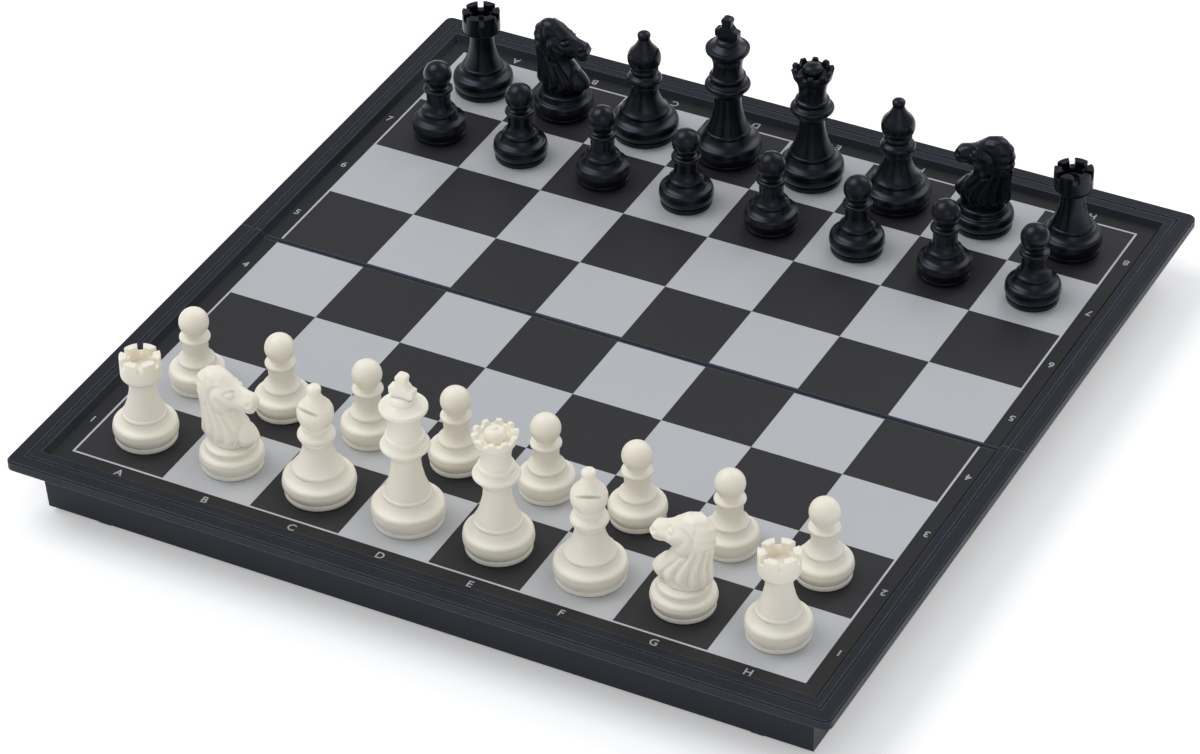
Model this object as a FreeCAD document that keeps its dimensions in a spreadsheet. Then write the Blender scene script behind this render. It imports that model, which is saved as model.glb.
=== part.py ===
"""Folding magnetic travel chess set: two hinged half boards and thirty-two men.

Frame: origin on the table under the fold line, +X towards the H file, +Y away from the
white men, +Z up. Millimetres.
"""
import FreeCAD, Part
import math
import os
import Sketcher

V = FreeCAD.Vector

SIZES = {
    # playing field and rim
    "square": 35.0,
    "files": 8,
    "half_ranks": 4,
    "seam_gap": 0.2,
    "seam_lip": 1.25,
    "lip_chamfer": 0.6,
    "side_margin": 18.0,
    "end_margin": 19.0,
    "plate_margin": 7.2,
    "plate_thickness": 0.5,
    "plate_play": 0.1,
    "rim_rise": 2.4,
    "rim_slope": 1.8,
    "rim_corner": 3.0,
    "groove_inset": 5.2,
    "groove_width": 1.2,
    "groove_depth": 0.6,
    "flange_thickness": 3.6,
    # hollow body of each half
    "body_inset": 9.0,
    "body_draft": 1.0,
    "body_depth": 21.1,
    "wall": 1.8,
    "tray_floor": 1.8,
    # hinge on the mating plane
    "mating_height": 2.2,
    "barrel_radius": 2.1,
    "barrel_relief": 2.6,
    "pin_radius": 0.9,
    "pin_play": 0.05,
    "hinge_centre": 105.0,
    "hinge_half": 20.0,
    "knuckle_half": 9.85,
    "knuckle_gap": 0.3,
    # closing tabs that also carry the open board
    "tab_width": 5.0,
    "tab_thickness": 1.6,
    "tab_play": 0.2,
    "tab_root": 6.0,
    "near_tab_place": 126.5,
    "far_tab_place": 112.0,
    # magnet and pad under every man
    "magnet_radius": 6.0,
    "magnet_thickness": 2.5,
    "pad_thickness": 0.6,
    "pad_inset": 2.2,
    "seat_play": 0.05,
    # foot ring shared by all the men
    "foot_height": 1.5,
    "foot_groove": 2.1,
    "groove_cut": 0.5,
    "drum_height": 6.6,
    "drum_sag": 0.45,
    "shoulder_sag": 0.65,
    "shoulder_step": 0.7,
    "stem_sag": 1.0,
    "collar_lip": 1.3,
    "dome_sag": 0.9,
    # pawn
    "pawn_foot": 9.4,
    "pawn_drum": 10.0,
    "pawn_shoulder": 6.4,
    "pawn_shoulder_z": 9.2,
    "pawn_stem": 3.9,
    "pawn_collar": 5.3,
    "pawn_collar_z": 21.2,
    "pawn_collar_half": 1.3,
    "pawn_neck": 3.5,
    "pawn_head": 5.35,
    "pawn_head_z": 27.2,
    # rook
    "rook_foot": 11.0,
    "rook_drum": 11.7,
    "rook_shoulder": 7.6,
    "rook_shoulder_z": 10.0,
    "rook_stem": 4.4,
    "rook_stem_z": 23.4,
    "rook_head": 7.0,
    "rook_head_z": 26.0,
    "rook_head_sag": 0.45,
    "rook_top": 34.6,
    "rook_well": 4.7,
    "rook_well_depth": 5.5,
    "merlons": 6,
    "crenel_width": 3.1,
    "crenel_depth": 3.2,
    # bishop
    "bishop_foot": 11.5,
    "bishop_drum": 12.2,
    "bishop_shoulder": 7.8,
    "bishop_shoulder_z": 10.2,
    "bishop_stem": 4.4,
    "bishop_collar": 6.8,
    "bishop_collar_z": 24.3,
    "bishop_edge": 0.6,
    "bishop_ring": 5.5,
    "bishop_neck": 4.4,
    "bishop_neck_z": 28.4,
    "bishop_mitre": 6.6,
    "bishop_mitre_z": 33.8,
    "bishop_tip": 1.7,
    "bishop_ball": 2.3,
    "bishop_ball_z": 43.0,
    "mitre_low_sag": 1.2,
    "mitre_high_sag": 0.9,
    "slit_width": 1.3,
    "slit_z": 36.4,
    "slit_reach": 3.0,
    "slit_tilt": 40.0,
    # queen
    "queen_foot": 11.5,
    "queen_drum": 12.2,
    "queen_shoulder": 8.0,
    "queen_shoulder_z": 10.6,
    "queen_stem": 4.6,
    "queen_collar": 8.3,
    "queen_collar_z": 30.6,
    "queen_collar_half": 2.8,
    "queen_ring": 6.3,
    "queen_ring_z": 35.0,
    "queen_neck": 5.4,
    "queen_crown": 7.7,
    "queen_crown_z": 44.4,
    "queen_top": 48.6,
    "queen_bowl": 5.6,
    "queen_bowl_z": 46.4,
    "queen_dome_z": 50.4,
    "coronet_points": 9,
    "coronet_notch": 1.15,
    # king
    "king_foot": 11.8,
    "king_drum": 12.5,
    "king_shoulder": 8.2,
    "king_shoulder_z": 11.0,
    "king_stem": 5.0,
    "king_collar": 8.8,
    "king_collar_z": 30.8,
    "king_collar_half": 3.0,
    "king_ring": 6.6,
    "king_ring_z": 35.6,
    "king_neck": 5.7,
    "king_crown": 8.6,
    "king_crown_z": 47.6,
    "king_dome": 4.2,
    "king_dome_z": 51.8,
    "cross_top": 61.8,
    "cross_half": 4.5,
    "cross_post": 2.6,
    "cross_arm_low": 54.2,
    "cross_arm_high": 57.6,
    "cross_thickness": 3.8,
    "cross_waist": 1.7,
    "cross_flare": 0.8,
    # knight
    "knight_foot": 11.0,
    "knight_drum": 11.6,
    "knight_shoulder": 8.4,
    "knight_shoulder_z": 10.4,
    "section_sag": 0.34,
    "flute_radius": 1.2,
    "flute_first": 8.0,
    "flute_step": 21.0,
    "flute_tail": 2.6,
    "ear_height": 5.2,
    "ear_radius": 1.5,
    "ear_spread": 2.5,
    "ear_x": -3.6,
    "ear_z": 36.2,
    "ear_lean": 66.0,
    "mouth_x": 8.2,
    "mouth_z": 25.9,
    "mouth_gape": 0.9,
}

# horizontal sections of the horse's neck, from the drum to the poll
NECK_FIELDS = ("z", "x", "ahead", "behind", "width")
NECK = (
    (10.2, 0.0, 7.4, 7.4, 6.0),
    (12.2, 0.0, 10.4, 9.4, 6.6),
    (14.0, 0.0, 12.0, 10.4, 7.0),
    (17.0, -0.4, 10.6, 10.1, 6.6),
    (20.5, -1.4, 8.5, 9.0, 6.0),
    (24.0, -2.4, 7.3, 7.7, 5.4),
    (29.0, -2.5, 7.0, 7.2, 5.0),
    (34.0, -2.4, 6.0, 6.0, 4.4),
    (38.4, -2.6, 2.2, 2.4, 2.0),
)
# sections between which the flutes of the mane run, and how many each side has
FLUTE_LOW = 3
FLUTE_HIGH = 7
FLUTES = 4

# upright sections of the head, from the back of the skull to the muzzle
HEAD_FIELDS = ("x", "z", "width", "above", "below")
HEAD = (
    (-4.0, 31.5, 3.4, 6.2, 5.2),
    (-0.5, 31.0, 4.9, 7.8, 7.0),
    (2.6, 30.0, 4.9, 6.8, 6.6),
    (5.4, 29.2, 4.3, 5.3, 5.8),
    (8.4, 28.2, 3.8, 4.9, 5.2),
    (10.8, 27.6, 3.6, 4.7, 4.6),
    (12.6, 27.6, 2.4, 3.2, 3.0),
)

for title, fields, rows in (
    ("neck", NECK_FIELDS, NECK),
    ("head", HEAD_FIELDS, HEAD),
):
    for number, row in enumerate(rows, start=1):
        for field, size in zip(fields, row):
            SIZES[f"{title}{number}_{field}"] = size

FILES = "abcdefgh"
BACK_RANK = ("rook", "knight", "bishop", "king", "queen", "bishop", "knight", "rook")
# degrees about Z: knights face inwards, bishops' slits point where each was set down
TURNS = {
    "knight_g": 180.0,
    "ivory_bishop_c": -47.0,
    "ivory_bishop_f": -20.0,
    "black_bishop_c": 75.0,
    "black_bishop_f": 180.0,
}

doc = FreeCAD.newDocument("folding_chess_set")


def make_sheet():
    """Write the driving dimensions into a spreadsheet, one aliased row each."""
    sheet = doc.addObject("Spreadsheet::Sheet", "Sizes")
    for row, (name, value) in enumerate(SIZES.items(), start=1):
        sheet.set(f"A{row}", name)
        sheet.set(f"B{row}", str(value))
        sheet.setAlias(f"B{row}", name)
    doc.recompute()
    return sheet


sheet = make_sheet()


def bound(text):
    """Point every driving dimension named in an expression at its cell."""
    words = []
    word = ""
    for letter in text + " ":
        if letter.isalnum() or letter == "_":
            word += letter
            continue
        words.append(f"Sizes.{word}" if word in SIZES else word)
        words.append(letter)
        word = ""
    return "".join(words).strip()


def value(text):
    """Evaluate an expression of driving dimensions."""
    result = sheet.evalExpression(bound(text))
    return float(getattr(result, "Value", result))


# heights and edges worked out from the driving dimensions
PLATE_TOP = "(mating_height + body_depth)"
RIM_TOP = f"({PLATE_TOP} + rim_rise)"
FLANGE_LOW = f"({RIM_TOP} - flange_thickness)"
FIELD_START = "(seam_gap / 2 + seam_lip)"
FIELD_END = f"({FIELD_START} + half_ranks * square)"
HALF_WIDTH = "(files / 2 * square + side_margin)"
HALF_LENGTH = f"({FIELD_END} + end_margin)"
PLATE_SIDE = "(files / 2 * square + plate_margin)"
PLATE_END = f"({FIELD_END} + plate_margin)"
BODY_SIDE = f"({HALF_WIDTH} - body_inset)"
BODY_END = f"({HALF_LENGTH} - body_inset)"
HOLLOW_SIDE = f"({BODY_SIDE} - body_draft - wall)"
HOLLOW_END = f"({BODY_END} - body_draft - wall)"
PAST_SEAM = 5.0
TOUCH = 1e-6


def new_sketch(body, name, role, offset="0"):
    """Add a sketch on one of the body's origin planes, moved along its normal."""
    plane = next(item for item in body.Origin.OriginFeatures if item.Role == role)
    sketch = body.newObject("Sketcher::SketchObject", name)
    sketch.AttachmentSupport = [(plane, "")]
    sketch.MapMode = "FlatFace"
    sketch.setExpression("AttachmentOffset.Base.z", bound(offset))
    return sketch


def arc_with_sag(start, end, sag):
    """Arc between two points, kept counter-clockwise whichever way it bulges."""
    along = end - start
    right = V(along.y, -along.x, 0).normalize()
    shift = sag / 2 - along.Length ** 2 / (8 * sag)
    centre = (start + end) * 0.5 + right * shift
    first, last = (start, end) if sag > 0 else (end, start)
    angles = [math.atan2(point.y - centre.y, point.x - centre.x) for point in (first, last)]
    round_edge = Part.Circle(centre, V(0, 0, 1), (start - centre).Length)
    return Part.ArcOfCircle(round_edge, angles[0], angles[1])


def outline(sketch, points):
    """Draw a closed outline and tie every corner to its two expressions.

    A point with a third entry is reached by an arc of that sag; a positive sag bulges to the
    right of the direction of travel.
    """
    count = len(points)
    places = [V(value(point[0]), value(point[1]), 0) for point in points]
    starts = []
    ends = []
    for index, start in enumerate(places):
        target = points[(index + 1) % count]
        end = places[(index + 1) % count]
        sag = value(target[2]) if len(target) > 2 else 0.0
        if sag:
            sketch.addGeometry(arc_with_sag(start, end, sag), False)
        else:
            sketch.addGeometry(Part.LineSegment(start, end), False)
        starts.append(2 if sag < 0 else 1)
        ends.append(1 if sag < 0 else 2)
    for index in range(count):
        follow = (index + 1) % count
        joint = Sketcher.Constraint("Coincident", index, ends[index], follow, starts[follow])
        sketch.addConstraint(joint)
    for index, point in enumerate(points):
        tie_point(sketch, index, starts[index], point)
        target = points[(index + 1) % count]
        if len(target) > 2:
            tie_arc(sketch, index, point, target)


def tie_arc(sketch, index, point, target):
    """Hold an arc's sag through the coordinate of its centre that the sag moves most.

    An arc that ends on the axis is centred there, so that it turns into part of a ball.
    """
    if target[0] == "0":
        sketch.addConstraint(Sketcher.Constraint("PointOnObject", index, 3, -2))
        return
    run = f"(({target[0]}) - ({point[0]}))"
    rise = f"(({target[1]}) - ({point[1]}))"
    chord = f"sqrt({run}^2 + {rise}^2)"
    shift = f"(({target[2]}) / 2 - ({run}^2 + {rise}^2) / (8 * ({target[2]})))"
    if abs(value(rise)) > abs(value(run)):
        centre = f"(({point[0]}) + ({target[0]})) / 2 + {rise} / {chord} * {shift}"
        tie(sketch, centre, "DistanceX", -1, 1, index, 3)
    else:
        centre = f"(({point[1]}) + ({target[1]})) / 2 - {run} / {chord} * {shift}"
        tie(sketch, centre, "DistanceY", -1, 1, index, 3)


def tie(sketch, text, kind, *where):
    """Add a dimension to a sketch and bind it to an expression."""
    number = sketch.addConstraint(Sketcher.Constraint(kind, *where, value(text)))
    sketch.setExpression(f"Constraints[{number}]", bound(text))


def tie_point(sketch, geometry, end, point):
    """Hold a point of a sketch at two expressions, or on an axis where one is zero."""
    for text, kind, axis in ((point[0], "DistanceX", -2), (point[1], "DistanceY", -1)):
        if text == "0":
            sketch.addConstraint(Sketcher.Constraint("PointOnObject", geometry, end, axis))
        else:
            tie(sketch, text, kind, -1, 1, geometry, end)


def circle(sketch, centre, radius):
    """Draw a circle whose centre and radius are bound to expressions."""
    middle = V(value(centre[0]), value(centre[1]), 0)
    sketch.addGeometry(Part.Circle(middle, V(0, 0, 1), value(radius)), False)
    tie_point(sketch, 0, 3, centre)
    tie(sketch, radius, "Radius", 0)


def extrude(body, kind, name, sketch, length, along_normal=True):
    """Add a Pad or Pocket along or against the sketch's normal, and check that it did something."""
    before = 0.0 if body.Shape.isNull() else body.Shape.Volume
    feature = body.newObject(f"PartDesign::{kind}", name)
    feature.Profile = sketch
    feature.setExpression("Length", bound(length))
    feature.Reversed = along_normal == (kind == "Pocket")
    doc.recompute()
    if abs(body.Shape.Volume - before) < 1e-3:
        raise RuntimeError(f"{body.Label}: {name} changed nothing")
    return feature


def pad(body, name, sketch, length, along_normal=True):
    """Add material along the sketch's normal."""
    return extrude(body, "Pad", name, sketch, length, along_normal)


def pocket(body, name, sketch, length, along_normal=False):
    """Cut material, against the sketch's normal unless told otherwise."""
    return extrude(body, "Pocket", name, sketch, length, along_normal)


def loft(body, kind, name, sketches, ruled):
    """Loft through sketches, adding or cutting."""
    feature = body.newObject(f"PartDesign::{kind}Loft", name)
    feature.Profile = sketches[0]
    feature.Sections = sketches[1:]
    feature.Ruled = ruled
    doc.recompute()
    return feature


def around(body, name, original, sketch, count):
    """Repeat a feature evenly round the axis of a turned profile."""
    pattern = body.newObject("PartDesign::PolarPattern", name)
    pattern.Originals = [original]
    pattern.Axis = (sketch, ["V_Axis"])
    pattern.Angle = 360
    pattern.setExpression("Occurrences", bound(count))
    body.Tip = pattern
    doc.recompute()


def new_body(label):
    """Start a body with its own label."""
    body = doc.addObject("PartDesign::Body", label)
    body.Label = label
    return body


def box_outline(side, half_width, low, high):
    """Corners of a rectangle across the board, from low to high along Y on one side."""
    return [
        (f"-({half_width})", f"{side} * ({low})"),
        (f"-({half_width})", f"{side} * ({high})"),
        (half_width, f"{side} * ({high})"),
        (half_width, f"{side} * ({low})"),
    ]


def band(low, high, side, start, end):
    """Corners of a rectangle from low to high along X and from start to end along Y."""
    return [
        (low, f"{side} * ({start})"),
        (low, f"{side} * ({end})"),
        (high, f"{side} * ({end})"),
        (high, f"{side} * ({start})"),
    ]


def tray_shell(body, side):
    """Flange, drafted hollow body and sloped rim of one half."""
    corner = f"{-side} * rim_corner * (1 - cos(45))"
    sketch = new_sketch(body, "flange_outline", "XY_Plane", FLANGE_LOW)
    outline(sketch, [
        (f"-{HALF_WIDTH}", f"{side} * seam_gap / 2"),
        (f"-{HALF_WIDTH}", f"{side} * ({HALF_LENGTH} - rim_corner)"),
        (f"-({HALF_WIDTH} - rim_corner)", f"{side} * {HALF_LENGTH}", corner),
        (f"{HALF_WIDTH} - rim_corner", f"{side} * {HALF_LENGTH}"),
        (HALF_WIDTH, f"{side} * ({HALF_LENGTH} - rim_corner)", corner),
        (HALF_WIDTH, f"{side} * seam_gap / 2"),
    ])
    pad(body, "flange", sketch, "flange_thickness")

    high = new_sketch(body, "body_high", "XY_Plane", FLANGE_LOW)
    outline(high, box_outline(side, BODY_SIDE, "seam_gap / 2", BODY_END))
    low = new_sketch(body, "body_low", "XY_Plane", "mating_height")
    low_side = f"{BODY_SIDE} - body_draft"
    low_end = f"{BODY_END} - body_draft"
    outline(low, box_outline(side, low_side, "seam_gap / 2", low_end))
    loft(body, "Additive", "drafted_body", [high, low], True)

    hollow = new_sketch(body, "hollow_outline", "XY_Plane", "mating_height")
    outline(hollow, box_outline(side, HOLLOW_SIDE, "seam_gap / 2 + wall", HOLLOW_END))
    pocket(body, "storage_hollow", hollow, "body_depth - plate_thickness - tray_floor", True)

    seat = new_sketch(body, "plate_seat_outline", "XY_Plane", PLATE_TOP)
    outline(seat, box_outline(side, PLATE_SIDE, FIELD_START, PLATE_END))
    rim_low = new_sketch(body, "rim_low", "XY_Plane", PLATE_TOP)
    outline(rim_low, box_outline(side, PLATE_SIDE, f"-{PAST_SEAM}", PLATE_END))
    rim_high = new_sketch(body, "rim_high", "XY_Plane", RIM_TOP)
    high_side = f"{PLATE_SIDE} + rim_slope"
    high_end = f"{PLATE_END} + rim_slope"
    outline(rim_high, box_outline(side, high_side, f"-{PAST_SEAM}", high_end))
    loft(body, "Subtractive", "sloped_rim", [rim_low, rim_high], True)
    pocket(body, "plate_seat", seat, "plate_thickness")

    line = new_sketch(body, "groove_outline", "XY_Plane", RIM_TOP)
    outer_side = f"{HALF_WIDTH} - groove_inset"
    outer_end = f"{HALF_LENGTH} - groove_inset"
    outline(line, [
        (f"-({outer_side})", f"{-side} * {PAST_SEAM}"),
        (f"-({outer_side})", f"{side} * ({outer_end})"),
        (outer_side, f"{side} * ({outer_end})"),
        (outer_side, f"{-side} * {PAST_SEAM}"),
        (f"{outer_side} - groove_width", f"{-side} * {PAST_SEAM}"),
        (f"{outer_side} - groove_width", f"{side} * ({outer_end} - groove_width)"),
        (f"-({outer_side} - groove_width)", f"{side} * ({outer_end} - groove_width)"),
        (f"-({outer_side} - groove_width)", f"{-side} * {PAST_SEAM}"),
    ])
    pocket(body, "rim_groove", line, "groove_depth")


def soften_edges(body, side):
    """Break the top outer edges and the seam lip of one half."""
    names = []
    for number, edge in enumerate(body.Shape.Edges, start=1):
        box = edge.BoundBox
        top = box.ZMin > value(RIM_TOP) - TOUCH
        sides = min(abs(box.XMin), abs(box.XMax)) > value(f"{HALF_WIDTH} - rim_corner") - TOUCH
        ends = min(abs(box.YMin), abs(box.YMax)) > value(f"{HALF_LENGTH} - rim_corner") - TOUCH
        if top and (sides or ends) and edge.Length > TOUCH:
            names.append(f"Edge{number}")
    moulded = body.Tip
    feature = body.newObject("PartDesign::Chamfer", "edge_break")
    feature.Base = (moulded, names)
    feature.setExpression("Size", bound("lip_chamfer"))
    doc.recompute()
    lip = new_sketch(body, "lip_break_outline", "YZ_Plane", f"-{PLATE_SIDE}")
    outline(lip, [
        (f"{side} * (seam_gap / 2 - lip_chamfer)", f"{PLATE_TOP} - lip_chamfer"),
        (f"{side} * seam_gap / 2", f"{PLATE_TOP} - lip_chamfer"),
        (f"{side} * (seam_gap / 2 + lip_chamfer)", PLATE_TOP),
        (f"{side} * (seam_gap / 2 - lip_chamfer)", PLATE_TOP),
    ])
    pocket(body, "lip_break", lip, f"2 * {PLATE_SIDE}", True)


def knuckle(body, name, start, length):
    """One hinge knuckle on the fold axis, from start along X."""
    sketch = new_sketch(body, f"{name}_outline", "YZ_Plane", start)
    circle(sketch, ("0", "mating_height"), "barrel_radius")
    pad(body, name, sketch, length)


def wall_notch(body, name, side, start, end):
    """Room in the middle wall for a knuckle of the other half."""
    sketch = new_sketch(body, f"{name}_outline", "XY_Plane", "mating_height")
    outline(sketch, band(start, end, side, "-1", "seam_gap / 2 + wall + seat_play"))
    pocket(body, name, sketch, "barrel_relief", True)


def pin_bore(body, name, start, radius):
    """Bore along the fold axis through one set of knuckles."""
    sketch = new_sketch(body, f"{name}_outline", "YZ_Plane", f"{start} - 1")
    circle(sketch, ("0", "mating_height"), radius)
    pocket(body, name, sketch, "2 * hinge_half + 2", True)


def hinge(body, side):
    """Two sets of knuckles: the near half has the outer pair, the far half the middle one."""
    outer_length = "(hinge_half - knuckle_half - knuckle_gap)"
    for hand in (-1, 1):
        word = "left" if hand < 0 else "right"
        centre = f"{hand} * hinge_centre"
        low = f"({centre} - hinge_half)"
        high = f"({centre} + knuckle_half + knuckle_gap)"
        middle = f"({centre} - knuckle_half)"
        if side < 0:
            wall_notch(body, f"{word}_notch", side, f"{middle} - knuckle_gap", high)
            knuckle(body, f"{word}_knuckle_low", low, outer_length)
            knuckle(body, f"{word}_knuckle_high", high, outer_length)
            pin_bore(body, f"{word}_bore", low, "pin_radius")
        else:
            wall_notch(body, f"{word}_notch_low", side, f"{low} - knuckle_gap", middle)
            wall_notch(body, f"{word}_notch_high", side, f"{centre} + knuckle_half",
                       f"{centre} + hinge_half + knuckle_gap")
            knuckle(body, f"{word}_knuckle", middle, "2 * knuckle_half")
            pin_bore(body, f"{word}_bore", low, "pin_radius + pin_play")


def closing_tabs(body, side, place):
    """Two tabs inside the end wall; they locate the halves when folded and carry the open board."""
    inner = f"{HOLLOW_END} - tab_play - tab_thickness"
    for hand in (-1, 1):
        word = "left" if hand < 0 else "right"
        low = f"{hand} * {place} - tab_width / 2"
        high = f"{hand} * {place} + tab_width / 2"
        root = new_sketch(body, f"{word}_tab_root_outline", "XY_Plane", "mating_height + tab_play")
        outline(root, band(low, high, side, inner, f"{HOLLOW_END} + tab_play"))
        pad(body, f"{word}_tab_root", root, "tab_root")
        blade = new_sketch(body, f"{word}_tab_outline", "XY_Plane", "0")
        outline(blade, band(low, high, side, inner, f"{HOLLOW_END} - tab_play"))
        pad(body, f"{word}_tab", blade, "mating_height + tab_root")


def tray(label, side, tab_place):
    """One moulded half of the board."""
    body = new_body(label)
    tray_shell(body, side)
    soften_edges(body, side)
    hinge(body, side)
    closing_tabs(body, side, tab_place)
    return body


def place(item, x, y, z, turn="0"):
    """Bind an object's placement to expressions."""
    for axis, text in (("x", x), ("y", y), ("z", z)):
        item.setExpression(f"Placement.Base.{axis}", bound(text))
    item.Placement.Rotation = FreeCAD.Rotation(V(0, 0, 1), value(turn))


def play_plate(label, side):
    """Steel sheet that carries the printed field of one half."""
    plate = doc.addObject("Part::Box", label)
    plate.Label = label
    length = f"({PLATE_END} - {FIELD_START} - 2 * plate_play)"
    plate.setExpression("Length", bound(f"2 * ({PLATE_SIDE} - plate_play)"))
    plate.setExpression("Width", bound(length))
    plate.setExpression("Height", bound("plate_thickness"))
    near_edge = f"{FIELD_START} + plate_play" if side > 0 else f"-({PLATE_END} - plate_play)"
    place(plate, f"-({PLATE_SIDE} - plate_play)", near_edge, f"{PLATE_TOP} - plate_thickness")
    return plate


def hinge_pin(label, hand):
    """Straight steel pin through one set of knuckles."""
    pin = doc.addObject("Part::Cylinder", label)
    pin.Label = label
    pin.setExpression("Radius", bound("pin_radius"))
    pin.setExpression("Height", bound("2 * hinge_half"))
    for axis, text in (("x", f"{hand} * hinge_centre - hinge_half"), ("z", "mating_height")):
        pin.setExpression(f"Placement.Base.{axis}", bound(text))
    pin.Placement.Rotation = FreeCAD.Rotation(V(0, 1, 0), 90)
    return pin


def base_profile(kind):
    """Seats for magnet and pad, foot ring and rounded drum, up to the foot of the stem."""
    seat_top = "pad_thickness + magnet_thickness + seat_play"
    seat_radius = "magnet_radius + seat_play"
    foot = f"{kind}_foot"
    return [
        ("0", seat_top),
        (seat_radius, seat_top),
        (seat_radius, "pad_thickness"),
        (f"{foot} - pad_inset", "pad_thickness"),
        (f"{foot} - pad_inset", "0"),
        (foot, "0"),
        (foot, "foot_height"),
        (f"{foot} - groove_cut", "(foot_height + foot_groove) / 2"),
        (foot, "foot_groove"),
        (f"{kind}_drum - drum_sag", "drum_height", "drum_sag"),
        (f"{kind}_shoulder", f"{kind}_shoulder_z", "shoulder_sag"),
    ]


def ball_cap(radius, height, top):
    """Point on the axis reached by an arc centred there, from radius at height."""
    rise = f"(({top}) - ({height}))"
    chord = f"(({radius})^2 + {rise}^2)"
    ball = f"({chord} / (2 * {rise}))"
    return ("0", top, f"{ball} - sqrt({ball}^2 - {chord} / 4)")


def stem(kind, top):
    """Concave stem from the step on the drum to its slimmest height."""
    foot = f"{kind}_shoulder - shoulder_step"
    return [
        (foot, f"{kind}_shoulder_z + shoulder_step / 2"),
        (f"{kind}_stem", top, "-stem_sag"),
    ]


def turned_man(kind, upper):
    """Revolve a man's profile; returns the body and the profile's sketch."""
    body = new_body(f"{kind}_form")
    sketch = new_sketch(body, f"{kind}_profile", "XZ_Plane")
    outline(sketch, base_profile(kind) + upper)
    turned = body.newObject("PartDesign::Revolution", f"{kind}_turned")
    turned.Profile = sketch
    turned.ReferenceAxis = (sketch, ["V_Axis"])
    turned.Angle = 360
    doc.recompute()
    return body, sketch


def pawn():
    """Ball head over a round collar."""
    low = "pawn_collar_z - pawn_collar_half"
    high = "pawn_collar_z + pawn_collar_half"
    throat = "pawn_head_z - sqrt(pawn_head^2 - pawn_neck^2)"
    return turned_man("pawn", stem("pawn", low) + [
        ("pawn_stem", high, "pawn_collar - pawn_stem"),
        ("pawn_neck", throat),
        ball_cap("pawn_neck", throat, "pawn_head_z + pawn_head"),
    ])[0]


def rook():
    """Tower with an open well and a notched wall."""
    body, sketch = turned_man("rook", stem("rook", "rook_stem_z") + [
        ("rook_head", "rook_head_z", "rook_head_sag"),
        ("rook_head", "rook_top"),
        ("rook_well", "rook_top"),
        ("rook_well", "rook_top - rook_well_depth"),
        ("0", "rook_top - rook_well_depth"),
    ])
    cut = new_sketch(body, "crenel_outline", "XZ_Plane", "rook_well / 2")
    outline(cut, [
        ("-crenel_width / 2", "rook_top - crenel_depth"),
        ("crenel_width / 2", "rook_top - crenel_depth"),
        ("crenel_width / 2", "rook_top + 1"),
        ("-crenel_width / 2", "rook_top + 1"),
    ])
    crenel = pocket(body, "crenel", cut, "rook_head", True)
    around(body, "crenels", crenel, sketch, "merlons")
    return body


def bishop():
    """Mitre with a slanting slit and a ball on top."""
    rim = "bishop_collar - bishop_edge"
    ring = "bishop_ring - bishop_edge"
    throat = "bishop_ball_z - sqrt(bishop_ball^2 - bishop_tip^2)"
    body, _ = turned_man("bishop", stem("bishop", "bishop_collar_z - 4 * bishop_edge") + [
        (rim, "bishop_collar_z - bishop_edge", "-bishop_edge / 2"),
        (rim, "bishop_collar_z + bishop_edge", "bishop_edge"),
        (ring, "bishop_collar_z + 2 * bishop_edge"),
        (ring, "bishop_collar_z + 4 * bishop_edge", "bishop_edge"),
        ("bishop_neck", "bishop_collar_z + 6 * bishop_edge", "bishop_edge / 2"),
        ("bishop_neck", "bishop_neck_z"),
        ("bishop_mitre", "bishop_mitre_z", "mitre_low_sag"),
        ("bishop_tip", throat, "mitre_high_sag"),
        ball_cap("bishop_tip", throat, "bishop_ball_z + bishop_ball"),
    ])
    drop = "slit_reach * tan(slit_tilt)"
    outside = "-(bishop_mitre + 1)"
    inside = "-(bishop_mitre + 1 - 2 * slit_reach)"
    cut = new_sketch(body, "slit_outline", "YZ_Plane", "-2 * bishop_mitre")
    outline(cut, [
        (outside, f"slit_z + {drop}"),
        (inside, f"slit_z - {drop}"),
        (inside, f"slit_z - {drop} - slit_width"),
        (outside, f"slit_z + {drop} - slit_width"),
    ])
    pocket(body, "mitre_slit", cut, "4 * bishop_mitre", True)
    return body


def collar(kind):
    """Bowl-shaped collar of the king and queen, with the ring above it."""
    low = f"{kind}_collar_z - {kind}_collar_half"
    lip = f"{kind}_collar - collar_lip"
    return stem(kind, low) + [
        (lip, f"{kind}_collar_z - collar_lip", "collar_lip / 2"),
        (lip, f"{kind}_collar_z + collar_lip", "collar_lip"),
        (f"{kind}_ring", f"{kind}_collar_z + {kind}_collar_half"),
        (f"{kind}_ring", f"{kind}_ring_z - collar_lip"),
        (f"{kind}_ring - shoulder_step", f"{kind}_ring_z"),
        (f"{kind}_crown", f"{kind}_crown_z", f"-(({kind}_ring + {kind}_crown) / 2 - {kind}_neck)"),
    ]


def queen():
    """Flared coronet with round notches and a small dome inside it."""
    body, sketch = turned_man("queen", collar("queen") + [
        ("queen_crown", "queen_top"),
        ("queen_bowl", "queen_top"),
        ("queen_bowl - shoulder_step", "queen_bowl_z"),
        ball_cap("queen_bowl - shoulder_step", "queen_bowl_z", "queen_dome_z"),
    ])
    cut = new_sketch(body, "coronet_outline", "XZ_Plane", "queen_bowl - 2 * shoulder_step")
    circle(cut, ("0", "queen_top + coronet_notch / 4"), "coronet_notch")
    notch = pocket(body, "coronet_notch_cut", cut, "queen_crown", True)
    around(body, "coronet", notch, sketch, "coronet_points")
    return body


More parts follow.
